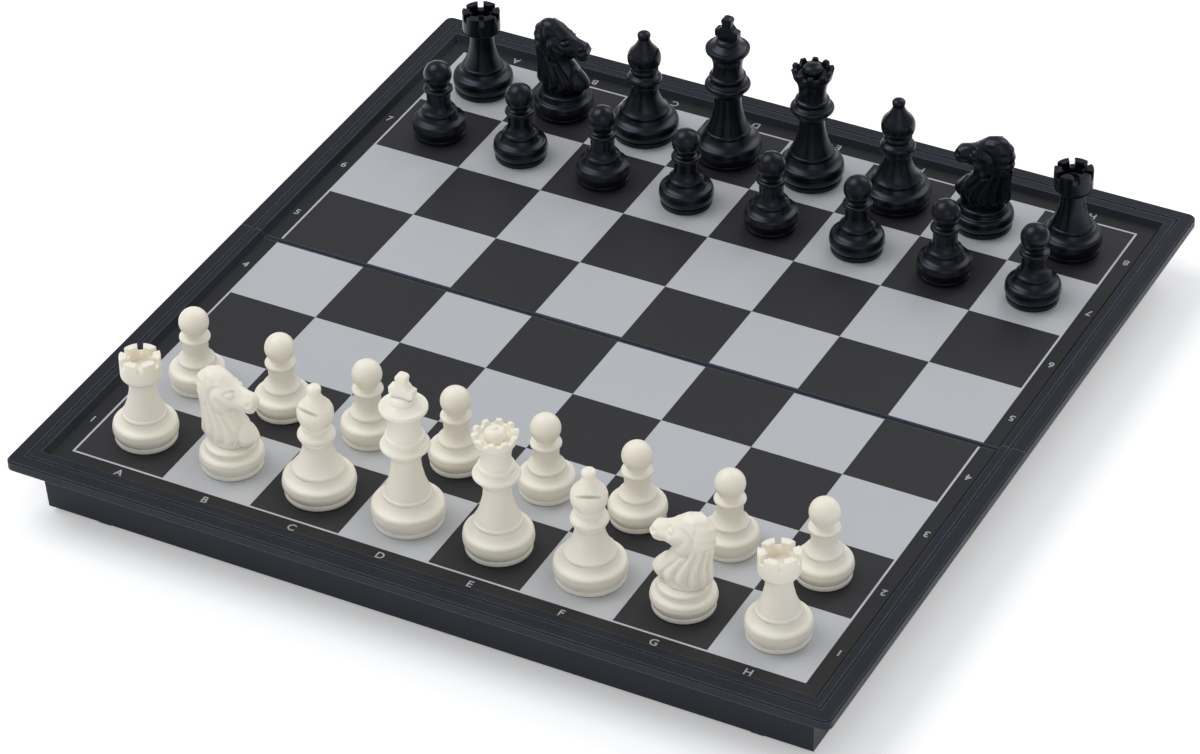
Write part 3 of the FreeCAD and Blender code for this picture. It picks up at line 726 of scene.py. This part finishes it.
@dataclass
class Rook(Man):
    """Tower with an open well and a notched wall."""

    head: float = 7.3
    floor_z: float = 29.9
    sill_z: float = 32.2
    top_z: float = 35.1
    well: float = 4.55
    merlons: int = 6
    crenel: float = 2.1
    bar: float = 30.0
    voxel: float = 0.28

    def tower(self) -> list[ProfilePoint]:
        """Profile of the head before it is notched."""
        return [
            (0.0, self.stem_z - 0.8),
            (self.stem - 0.3, self.stem_z - 0.8),
            (self.stem, self.stem_z - 0.1),
            (self.stem + 0.8, self.stem_z + 0.7, -0.12),
            (self.head - 0.4, self.stem_z + 1.8, 0.25),
            (self.head, self.stem_z + 2.9, 0.12),
            (self.head, self.top_z),
            (self.well, self.top_z),
            (self.well - 0.2, self.floor_z + 0.6),
            (self.well - 0.8, self.floor_z, -0.2),
            (0.0, self.floor_z),
        ]

    def detail(self, piece: bpy.types.Object) -> bpy.types.Object:
        """Cut the crenels through the tower, round what is left and set it on the stem."""
        head = lathe("rook_head", self.tower(), self.steps)
        size = (self.bar, self.crenel, 2 * (self.top_z - self.sill_z))
        for step in range(self.merlons // 2):
            turn = Matrix.Rotation(2 * math.pi * step / self.merlons, 4, "Z")
            cut_box(head, turn @ Matrix.Translation((0, 0, self.top_z * MM)), size)
        soften(head, self.voxel, 3)
        finish_mesh(head, 60)
        return join([piece, head], piece.name)


@dataclass
class Bishop(Man):
    """Mitre with a slanting slit and a ball on top."""

    collar: float = 6.7
    collar_z: float = 24.6
    mitre: float = 6.4
    mitre_z: float = 33.8
    knob: float = 2.4
    top_z: float = 45.1
    slit: Sequence[float] = (20.0, 4.6, 1.1)
    slit_slant: float = -38.0
    slit_out: float = 5.6
    slit_up: float = 3.7

    def upper(self) -> list[ProfilePoint]:
        """Profile above the stem."""
        edge, middle = self.collar - 0.7, self.collar_z
        return [
            (edge - 0.75, middle - 3.1, -0.1),
            (edge - 0.6, middle - 2.3, 0.25),
            (edge - 0.7, middle - 1.7),
            (edge, middle - 1.4),
            (edge, middle + 1.4, 0.7),
            (edge - 1.0, middle + 2.0),
            (edge - 1.25, middle + 2.9, -0.15),
            (5.1, 28.0),
            (5.1, 28.9, 0.25),
            (4.7, 29.4),
            (self.mitre, self.mitre_z, 0.55),
            (5.0, self.mitre_z + 3.6, 0.42),
            (self.knob - 0.3, 42.0, -0.35),
            (self.knob, 43.0, 0.12),
            (self.knob - 0.35, 44.5, 0.28),
            (0.0, self.top_z, 1.0),
        ]

    def detail(self, piece: bpy.types.Object) -> bpy.types.Object:
        """Cut the slit, which slants down into the mitre from the front."""
        slant = Matrix.Rotation(math.radians(self.slit_slant), 4, "X")
        middle = Vector((0, -self.slit_out, self.mitre_z + self.slit_up))
        cut_box(piece, Matrix.Translation(middle * MM) @ slant, self.slit)
        finish_mesh(piece, 34)
        return piece


@dataclass
class Crowned(Man):
    """What king and queen share: bowl-shaped collar with a ring over it and a flaring crown."""

    collar: float = 8.3
    collar_z: float = 31.5
    band: float = 6.3
    band_z: float = 35.9
    neck: float = 5.3
    crown: float = 7.4
    crown_z: float = 45.4

    def flare(self) -> list[ProfilePoint]:
        """Profile from the collar to the edge of the crown."""
        lip = self.collar - 1.15
        return [
            (lip - 0.5, self.collar_z - 1.55, 0.35),
            (lip, self.collar_z - 1.15),
            (lip, self.collar_z + 1.15, 1.15),
            (self.band + 0.25, self.collar_z + 1.7),
            (self.band - 0.1, self.collar_z + 2.5, -0.15),
            (self.band, self.band_z - 1.5),
            (self.band - 0.15, self.band_z - 0.3, 0.28),
            (self.band - 0.75, self.band_z),
            (self.crown - 0.5, self.crown_z - 0.9, -((self.band + self.crown) / 2 - 0.6 - self.neck)),
            (self.crown, self.crown_z, 0.12),
        ]


@dataclass
class Queen(Crowned):
    """Coronet of rounded points with a small dome inside it."""

    points: int = 10
    sill_z: float = 46.8
    top_z: float = 48.3
    dome: float = 3.9
    steps: int = 144

    def upper(self) -> list[ProfilePoint]:
        """Profile above the stem."""
        return self.flare() + [
            (self.crown + 0.2, self.sill_z - 0.2),
            (self.crown + 0.1, self.sill_z + 0.2, 0.1),
            (self.crown - 0.6, self.sill_z + 0.4, 0.1),
            (self.crown - 1.4, self.sill_z + 0.3, 0.1),
            (self.crown - 1.9, self.sill_z - 0.6),
            (self.crown - 2.4, self.sill_z - 0.9, -0.1),
            (self.dome - 0.4, self.sill_z - 0.8),
            (self.dome, self.sill_z + 0.6, 0.1),
            (1.1, 50.1, 0.95),
            (0.0, 51.0, 1.0),
        ]

    def detail(self, piece: bpy.types.Object) -> bpy.types.Object:
        """Draw the rim of the crown up and out into rounded teeth."""
        points = read_points(piece)
        radius = np.hypot(points[:, 0], points[:, 1])
        turn = np.arctan2(points[:, 1], points[:, 0]) * self.points
        tooth = smoothstep(-0.6, 0.5, np.cos(turn))
        on_rim = (radius > self.crown - 1.6) & (points[:, 2] > self.sill_z - 0.3)
        rise = np.where(on_rim, tooth, 0.0)
        points[:, 2] += rise * (self.top_z - self.sill_z)
        points[:, :2] *= 1 + (rise * 0.45 / np.maximum(radius, 1.0))[:, None]
        write_points(piece, points)
        finish_mesh(piece, 50)
        return piece


@dataclass
class King(Crowned):
    """Domed crown that carries a plain cross with flared arms."""

    dome: float = 4.7
    dome_z: float = 52.2
    cross_top: float = 61.1
    arm_z: float = 54.4
    arm_half: float = 4.6
    thick: float = 3.8
    voxel: float = 0.22

    def upper(self) -> list[ProfilePoint]:
        """Profile above the stem."""
        return self.flare() + [
            (self.crown, self.crown_z + 0.5),
            (self.crown - 0.7, self.crown_z + 1.2, 0.25),
            (self.dome + 0.3, self.dome_z - 2.1, -0.2),
            (self.dome, self.dome_z - 1.9),
            (self.dome - 0.1, self.dome_z - 1.0, 0.12),
            (2.6, self.dome_z, 0.3),
            (0.0, self.dome_z + 0.2),
        ]

    def outline(self) -> list[tuple[float, float]]:
        """Right half of the cross: distance from the axis and height, from the foot to the top."""
        foot, arm, top = self.dome_z - 1.0, self.arm_z, self.cross_top
        return [
            (3.9, foot),
            (3.3, arm - 1.9),
            (self.arm_half, arm - 1.6),
            (self.arm_half + 0.1, arm + 1.3),
            (2.9, arm + 1.7),
            (2.4, arm + 2.6),
            (1.7, arm + 3.2),
            (1.8, top - 2.2),
            (2.2, top - 1.5),
            (1.8, top - 0.4),
            (0.8, top),
        ]

    def detail(self, piece: bpy.types.Object) -> bpy.types.Object:
        """Set the cross on the dome: its outline is drawn, made thick and rounded."""
        right = self.outline()
        corners = right + [(-x, z) for x, z in reversed(right)]
        deselect()
        bpy.ops.mesh.primitive_circle_add(vertices=len(corners), radius=MM, fill_type="NGON")
        cross = bpy.context.object
        write_points(cross, np.array([(x, -self.thick / 2, z) for x, z in corners]))
        edit(cross)
        bpy.ops.mesh.select_all(action="SELECT")
        bpy.ops.mesh.extrude_region_move(TRANSFORM_OT_translate={"value": (0, self.thick * MM, 0)})
        bpy.ops.mesh.select_all(action="SELECT")
        bpy.ops.mesh.normals_make_consistent(inside=False)
        soften(cross, self.voxel, 18)
        finish_mesh(cross, 60)
        return join([piece, cross], piece.name)


@dataclass
class Knight(Man):
    """Horse's head and neck, carved over a turned drum; the nose points along +X."""

    # height, back, front and half width of the neck
    neck: Sequence[tuple[float, float, float, float]] = (
        (9.6, -6.8, 6.6, 5.6),
        (10.6, -7.8, 7.6, 6.0),
        (12.0, -9.6, 9.8, 6.5),
        (13.4, -10.6, 11.3, 6.9),
        (14.6, -10.9, 11.4, 7.0),
        (16.5, -10.8, 10.2, 6.7),
        (19.0, -10.6, 8.0, 6.2),
        (21.5, -10.6, 5.6, 5.7),
        (23.5, -10.8, 4.2, 5.4),
        (27.0, -11.3, 3.6, 5.1),
        (31.0, -11.7, 3.2, 4.9),
        (34.0, -11.5, 2.6, 4.6),
        (36.5, -10.4, 1.2, 4.0),
        (38.3, -8.4, -0.8, 3.0),
        (39.2, -6.0, -2.4, 1.4),
    )
    # distance along X, underside, top and half width of the head
    skull: Sequence[tuple[float, float, float, float]] = (
        (-6.5, 28.0, 37.0, 2.8),
        (-4.5, 26.2, 38.6, 4.2),
        (-1.5, 24.9, 38.9, 5.0),
        (1.1, 24.4, 37.2, 5.0),
        (3.5, 24.6, 35.2, 4.5),
        (5.9, 25.0, 33.8, 3.9),
        (8.1, 24.8, 33.1, 3.8),
        (9.7, 24.9, 32.5, 3.6),
        (10.8, 25.8, 31.5, 3.1),
        (11.4, 27.0, 30.3, 2.1),
    )
    voxel: float = 0.33

    def base(self) -> list[ProfilePoint]:
        """Profile of the drum and the ring under the horse."""
        return super().base()[:-1] + [(self.ring - 0.9, self.stem_z)]

    @staticmethod
    def between(rows: Sequence[Sequence[float]], along: np.ndarray) -> np.ndarray:
        """Smooth values between the rows of a table.

        Args:
            rows: the table.
            along: zero at its first row and one at its last.

        Returns:
            One row for each entry of along.
        """
        table = np.array(rows)
        spot = np.clip(along, 0, 1) * (len(table) - 1)
        low = np.minimum(spot.astype(int), len(table) - 2)
        part = (spot - low)[:, None]
        padded = np.vstack([2 * table[0] - table[1], table, 2 * table[-1] - table[-2]])
        a, b, c, d = (padded[low + step] for step in range(4))
        return b + 0.5 * part * (c - a + part * (2 * a - 5 * b + 4 * c - d + part * (3 * (b - c) + d - a)))

    def tube(self, name: str, rows: Sequence[Sequence[float]], upright: bool) -> bpy.types.Object:
        """Roll a grid into a closed tube through the sections of a table.

        Args:
            name: the object's name.
            rows: the sections.
            upright: the sections lie flat and stack up; otherwise they stand and follow X.

        Returns:
            The tube.
        """
        deselect()
        bpy.ops.mesh.primitive_grid_add(x_subdivisions=48, y_subdivisions=60, size=1000 * MM)
        piece = bpy.context.object
        piece.name = name
        spots = read_points(piece) / 1000 + 0.5
        angle = spots[:, 0] * 2 * math.pi
        along, low, high, half = self.between(rows, spots[:, 1] * 1.2 - 0.1).T
        fade = np.sqrt(np.clip(1 - (np.abs(spots[:, 1] - 0.5) / 0.5) ** 14, 0, 1))
        closing = np.where((spots[:, 1] < 0.002) | (spots[:, 1] > 0.998), 0.0, np.maximum(fade, 0.05))
        long = (low + high) / 2 + (high - low) / 2 * np.cos(angle) * closing
        if upright:
            prow = 1 - 0.22 * np.clip(np.cos(angle), 0, 1) ** 2
            across = half * np.sin(angle) * prow * closing
            points = np.stack([long, across, along], axis=1)
        else:
            jaw = 1 - 0.2 * np.clip(-np.cos(angle), 0, 1)
            across = half * np.sin(angle) * jaw * closing
            points = np.stack([along, across, long], axis=1)
        write_points(piece, points)
        finish_mesh(piece)
        return piece

    def ear(self, hand: int) -> bpy.types.Object:
        """One ear, laid back along the mane and a little outwards."""
        deselect()
        bpy.ops.mesh.primitive_cone_add(vertices=20, radius1=1.5 * MM, radius2=0.6 * MM, depth=4.6 * MM)
        piece = bpy.context.object
        lean = Euler((-hand * 0.25, -1.2, 0.0)).to_matrix().to_4x4()
        piece.data.transform(Matrix.Translation(Vector((-3.4, hand * 2.7, 37.2)) * MM) @ lean)
        return piece

    def detail(self, piece: bpy.types.Object) -> bpy.types.Object:
        """Unite neck, head and ears into one skin, carve it and set it on the drum."""
        parts = [self.tube("horse_neck", self.neck, True), self.tube("horse_head", self.skull, False)]
        parts += [self.ear(hand) for hand in (-1, 1)]
        horse = join(parts, "horse")
        soften(horse, self.voxel, 5)
        self.carve(horse)
        apply_modifier(horse, "SMOOTH", factor=0.5, iterations=2)
        finish_mesh(horse, 60)
        return join([piece, horse], piece.name)

    def carve(self, horse: bpy.types.Object) -> None:
        """Push the skin in and out for mane, jaw, eyes, nostrils and mouth."""
        points = read_points(horse)
        normals = np.empty(len(points) * 3)
        horse.data.vertices.foreach_get("normal", normals)
        normals = normals.reshape(-1, 3)
        x, y, z = points.T
        side = np.abs(y)
        push = np.zeros(len(points))

        # flutes of the mane: they run down from the jaw to the flared edge over the drum
        height, back, front, half = np.array(self.neck).T
        low, high, wide = (np.interp(z, height, row) for row in (back, front, half))
        turn = np.degrees(np.arctan2(side / wide, ((low + high) / 2 - x) * 2 / (high - low)))
        lock = turn + 3 * np.sin(z / 3.5) - (z - 14) * 0.5
        body = smoothstep(10.4, 12.2, z) * smoothstep(29.0, 24.0, z)
        behind = smoothstep(126, 112, turn + (z - 14) * 1.2)
        push -= 1.3 * (1 - np.abs(np.cos(np.radians(lock * 7)))) * body * behind
        # hollow between chest and mane
        push -= 0.9 * hill(turn + (z - 14) * 1.2, 126, 9) * body * smoothstep(27, 21, z)
        # curls along the crest
        push += 0.18 * np.cos(2 * math.pi * (z - 26) / 3.2) * smoothstep(75, 45, turn) * smoothstep(24, 28, z)
        push -= 0.5 * hill(turn + (z - 30) * 2.0, 84, 8) * smoothstep(26, 29, z) * smoothstep(38, 36, z)

        # jaw and the hollow behind it
        cheek = np.hypot(x + 0.1, (z - 29.2) / 1.1)
        beside = smoothstep(1.5, 3.0, side)
        push += 0.6 * smoothstep(4.6, 2.8, cheek) * beside
        push -= 0.8 * hill(cheek, 5.4, 0.9) * beside * smoothstep(1.5, -2.5, x) * smoothstep(37, 34, z)

        # eye under a brow
        eye = np.hypot((x - 3.1) / 1.3, (z - 32.8) / 0.9)
        push += (0.5 * smoothstep(1.0, 0.3, eye) - 0.6 * hill(eye, 1.35, 0.45)) * beside
        push += 0.4 * hill(np.hypot((x - 2.5) / 1.9, (z - 34.4) / 0.8), 0.0, 1.0) * smoothstep(1.0, 2.2, side)
        # hollow along the cheekbone
        push -= 0.35 * hill(z - 0.25 * x, 30.4, 1.3) * hill(x, 5.7, 2.4) * beside

        # nostril, and the mouth running back from the lips
        nostril = np.hypot(x - 9.8, (z - 30.2) / 0.85)
        push -= 0.75 * hill(nostril, 0.0, 1.0) * smoothstep(1.0, 1.8, side)
        push += 0.25 * hill(nostril, 1.5, 0.5) * smoothstep(1.0, 1.8, side)
        lips = z - (27.3 + 0.1 * (x - 7.5))
        push -= 0.8 * hill(lips, 0.0, 0.6) * smoothstep(5.6, 7.2, x)
        # groove behind the chin
        push -= 0.5 * hill(x, 6.2, 1.0) * smoothstep(26.8, 25.4, z)

        write_points(horse, points + normals * push[:, None])


@dataclass
class ChessMen:
    """All the men on their starting squares."""

    back_y: float = FIELD_START + 3.5 * SQUARE
    pawn_y: float = FIELD_START + 2.5 * SQUARE
    pad_low: float = 0.02
    pad_high: float = 0.2
    back_rank: Sequence[Kind] = (
        Kind.ROOK, Kind.KNIGHT, Kind.BISHOP, Kind.KING, Kind.QUEEN, Kind.BISHOP, Kind.KNIGHT, Kind.ROOK)
    turns: dict[str, float] = field(default_factory=lambda: {
        "ivory_knight_g": 180.0,
        "black_knight_g": 180.0,
        "ivory_bishop_c": -10.0,
        "ivory_bishop_f": 25.0,
        "black_bishop_c": 105.0,
        "black_bishop_f": 180.0,
    })

    def patterns(self) -> dict[Kind, bpy.types.Object]:
        """Model each kind once.

        Returns:
            The patterns by kind.
        """
        kinds = [
            Pawn(Kind.PAWN, 9.8, 10.4, 7.7, 6.6, 10.8, 4.6, 16.8, 0.7),
            Rook(Kind.ROOK, 11.1, 11.7, 7.8, 7.9, 10.9, 4.45, 24.7, 0.75),
            Knight(Kind.KNIGHT, 11.0, 11.6, 7.2, 9.0, 9.5, 7.0, 10.4, 0.5),
            Bishop(Kind.BISHOP, 12.3, 13.0, 7.7, 9.1, 10.9, 5.0, 20.2, 0.6),
            Queen(Kind.QUEEN, 11.7, 12.4, 8.3, 8.4, 12.0, 4.6, 26.4, 0.75),
            King(Kind.KING, 12.3, 13.0, 8.0, 8.5, 11.7, 5.0, 26.9, 0.75, collar=8.7, collar_z=31.9,
                 band=6.8, band_z=36.6, neck=5.6, crown=8.4, crown_z=47.3),
        ]
        return {man.kind: man.model() for man in kinds}

    def place(self) -> None:
        """Copy the patterns onto the board and dress them."""
        patterns = self.patterns()
        plastics = {Side.IVORY: IVORY.material(), Side.BLACK: BLACK.material()}
        pad = Felt().material()
        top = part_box("near_play_plate")[1].z
        for side in Side:
            colour = side.name.lower()
            for index, file in enumerate("abcdefgh"):
                x = (index - 3.5) * SQUARE * MM
                for kind, row in ((self.back_rank[index], self.back_y), (Kind.PAWN, self.pawn_y)):
                    node = f"{colour}_{kind.value}_{file}"
                    turn = Matrix.Rotation(math.radians(self.turns.get(node, 0.0)), 4, "Z")
                    spot = Matrix.Translation((x, side.value * row * MM, top))
                    piece = self.copy(patterns[kind], f"{node}_shape", spot @ turn)
                    self.dress(piece, plastics[side], pad, top)
                    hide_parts(node)
                    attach(piece, f"{node}_man")
                    LOG.info("%s: %d faces", piece.name, len(piece.data.polygons))
        for pattern in patterns.values():
            bpy.data.objects.remove(pattern)

    @staticmethod
    def copy(pattern: bpy.types.Object, name: str, place: Matrix) -> bpy.types.Object:
        """Copy a pattern with a mesh of its own.

        Args:
            pattern: the model to copy.
            name: name of the copy.
            place: where it stands.

        Returns:
            The copy, with its place in its mesh.
        """
        piece = pattern.copy()
        piece.data = pattern.data.copy()
        piece.name = name
        piece.data.transform(place)
        bpy.context.scene.collection.objects.link(piece)
        return piece

    def dress(
        self, piece: bpy.types.Object, plastic: bpy.types.Material, pad: bpy.types.Material, top: float
    ) -> None:
        """Give a man its plastic, and felt to the faces of its pad.

        Args:
            piece: the man.
            plastic: material of its form.
            pad: material of its pad.
            top: height of the plate it stands on.
        """
        piece.data.materials.clear()
        piece.data.materials.append(plastic)
        piece.data.materials.append(pad)
        for polygon in piece.data.polygons:
            height = polygon.center.z - top
            felt = self.pad_low * MM < height < self.pad_high * MM and polygon.normal.z < -0.9
            polygon.material_index = 1 if felt else 0


@dataclass
class Board:
    """The two moulded halves, their printed plates and the pins; all of them are frame pieces."""

    def dress(self) -> None:
        """Give every frame piece of the board its finish."""
        finishes = {
            "near_tray": BOARD.material(),
            "near_play_plate": PrintedSteel("printed_tinplate_near", 1).material(),
            "far_play_plate": PrintedSteel("printed_tinplate_far", 0).material(),
            "hinge_pin_left": DrawnSteel().material(),
        }
        finishes["far_tray"] = finishes["near_tray"]
        finishes["hinge_pin_right"] = finishes["hinge_pin_left"]
        for node, material in finishes.items():
            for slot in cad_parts[node].material_slots:
                slot.material = material
            LOG.info("%s: %s", node, material.name)


@dataclass
class Marks:
    """Letters along the ends and numbers along the sides, as on any numbered board."""

    height: float = 3.1
    end: float = 146.2
    side: float = 144.7
    pitch: float = 34.6
    drift: float = 1.0
    sink: float = 0.02
    weight: float = 0.06
    capital: float = 0.69

    def glyph(self, text: str, x: float, y: float, top: float, turned: bool) -> bpy.types.Object:
        """Make one letter or number.

        Args:
            text: the character.
            x: its middle, in millimetres.
            y: its middle, in millimetres.
            top: height of the plate, in metres.
            turned: it is read from the black side.

        Returns:
            A thin solid that sits in the plate's face.
        """
        deselect()
        bpy.ops.object.text_add(location=(x * MM, y * MM, top), rotation=(0, 0, math.pi if turned else 0))
        piece = bpy.context.object
        piece.data.body = text
        piece.data.size = self.height * MM / self.capital
        piece.data.align_x = "CENTER"
        piece.data.align_y = "CENTER"
        piece.data.extrude = self.sink * MM
        piece.data.offset = self.weight * MM
        bpy.ops.object.convert(target="MESH")
        bpy.ops.object.transform_apply(location=True, rotation=True, scale=True)
        return bpy.context.object

    def build(self) -> None:
        """Print both halves."""
        ink = Ink().material()
        for side in Side:
            half = "near" if side is Side.IVORY else "far"
            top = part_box(f"{half}_play_plate")[1].z
            glyphs = []
            for index, letter in enumerate("ABCDEFGH"):
                x = (index - 3.5) * self.pitch + self.drift
                glyphs.append(self.glyph(letter, x, side.value * self.end, top, side is Side.BLACK))
            for step in range(4):
                y = side.value * (FIELD_START + (step + 0.5) * SQUARE)
                number = str(4 - step if side is Side.IVORY else 5 + step)
                glyphs.append(self.glyph(number, -self.side, y, top, False))
                glyphs.append(self.glyph(number, self.side, y, top, True))
            piece = join(glyphs, f"{half}_marks")
            finish_mesh(piece)
            piece.data.materials.clear()
            piece.data.materials.append(ink)
            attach(piece, f"{half}_half")
            LOG.info("%s: %d glyphs", piece.name, len(glyphs))


@dataclass(frozen=True)
class SoftBox:
    """A square area light, placed in metres."""

    name: str
    spot: Sequence[float]
    size: float
    watts: float
    aim: Sequence[float] = (0.0, 0.0, 0.0)

    def hang(self) -> None:
        """Hang the light and point it at its aim."""
        data = bpy.data.lights.new(self.name, "AREA")
        data.shape = "SQUARE"
        data.size = self.size
        data.energy = self.watts
        light = bpy.data.objects.new(self.name, data)
        light.location = self.spot
        light.rotation_euler = (Vector(self.aim) - Vector(self.spot)).to_track_quat("-Z", "Y").to_euler()
        bpy.context.scene.collection.objects.link(light)


@dataclass
class Studio:
    """Pale floor, soft light and the camera."""

    eye: Sequence[float] = (0.64349, -1.22849, 1.03475)
    turn: Sequence[float] = (0.93278, 0.015202, 0.476509)
    lens: float = 143.57
    boxes: Sequence[SoftBox] = (
        SoftBox("key", (-1.3, -0.2, 2.1), 1.6, 28.0),
        SoftBox("fill", (1.2, -1.7, 1.3), 1.4, 5.5),
        SoftBox("back", (0.6, 1.9, 1.7), 1.6, 16.0, (0.0, 0.0, 0.02)),
    )
    sky: str = "#F4F6FA"
    sky_strength: float = 0.5
    floor_glow: float = 0.3

    def camera(self) -> None:
        """Set the camera where the photographer stood."""
        data = bpy.data.cameras.new("camera")
        data.lens = self.lens
        data.sensor_width = 36.0
        camera = bpy.data.objects.new("camera", data)
        camera.location = self.eye
        camera.rotation_euler = self.turn
        bpy.context.scene.collection.objects.link(camera)
        bpy.context.scene.camera = camera

    def floor(self) -> None:
        """Lay a sheet of pale paper under the board."""
        deselect()
        bpy.ops.mesh.primitive_plane_add(size=8)
        sheet = bpy.context.object
        sheet.name = "floor"
        material, tree, place = start_material("white_paper")
        colour = blend(tree, "#F7F7F7", "#F4F4F4", noise(tree, place, 3.0))
        surface(tree, {"Roughness": 0.9, "Specular IOR Level": 0.2, "Emission Color": linear("#FFFFFF"),
                       "Emission Strength": self.floor_glow}, {"Base Color": colour})
        sheet.data.materials.append(material)

    def lights(self) -> None:
        """Hang the soft boxes and light the room evenly."""
        for box in self.boxes:
            box.hang()
        world = bpy.data.worlds.new("room")
        bpy.context.scene.world = world
        world.use_nodes = True
        world.node_tree.nodes.clear()
        sky = add_node(world.node_tree, "ShaderNodeBackground",
                       {"Color": linear(self.sky), "Strength": self.sky_strength})
        add_node(world.node_tree, "ShaderNodeOutputWorld", None, {"Surface": sky.outputs[0]})

    def build(self) -> None:
        """Set up the whole studio."""
        self.camera()
        self.floor()
        self.lights()
        bpy.context.scene.view_settings.view_transform = "Standard"


def main() -> None:
    """Build and dress the set in order."""
    logging.basicConfig(level=logging.INFO, format="%(name)s: %(message)s")
    Studio().build()
    Board().dress()
    Marks().build()
    ChessMen().place()


if __name__ == "__main__":
    main()
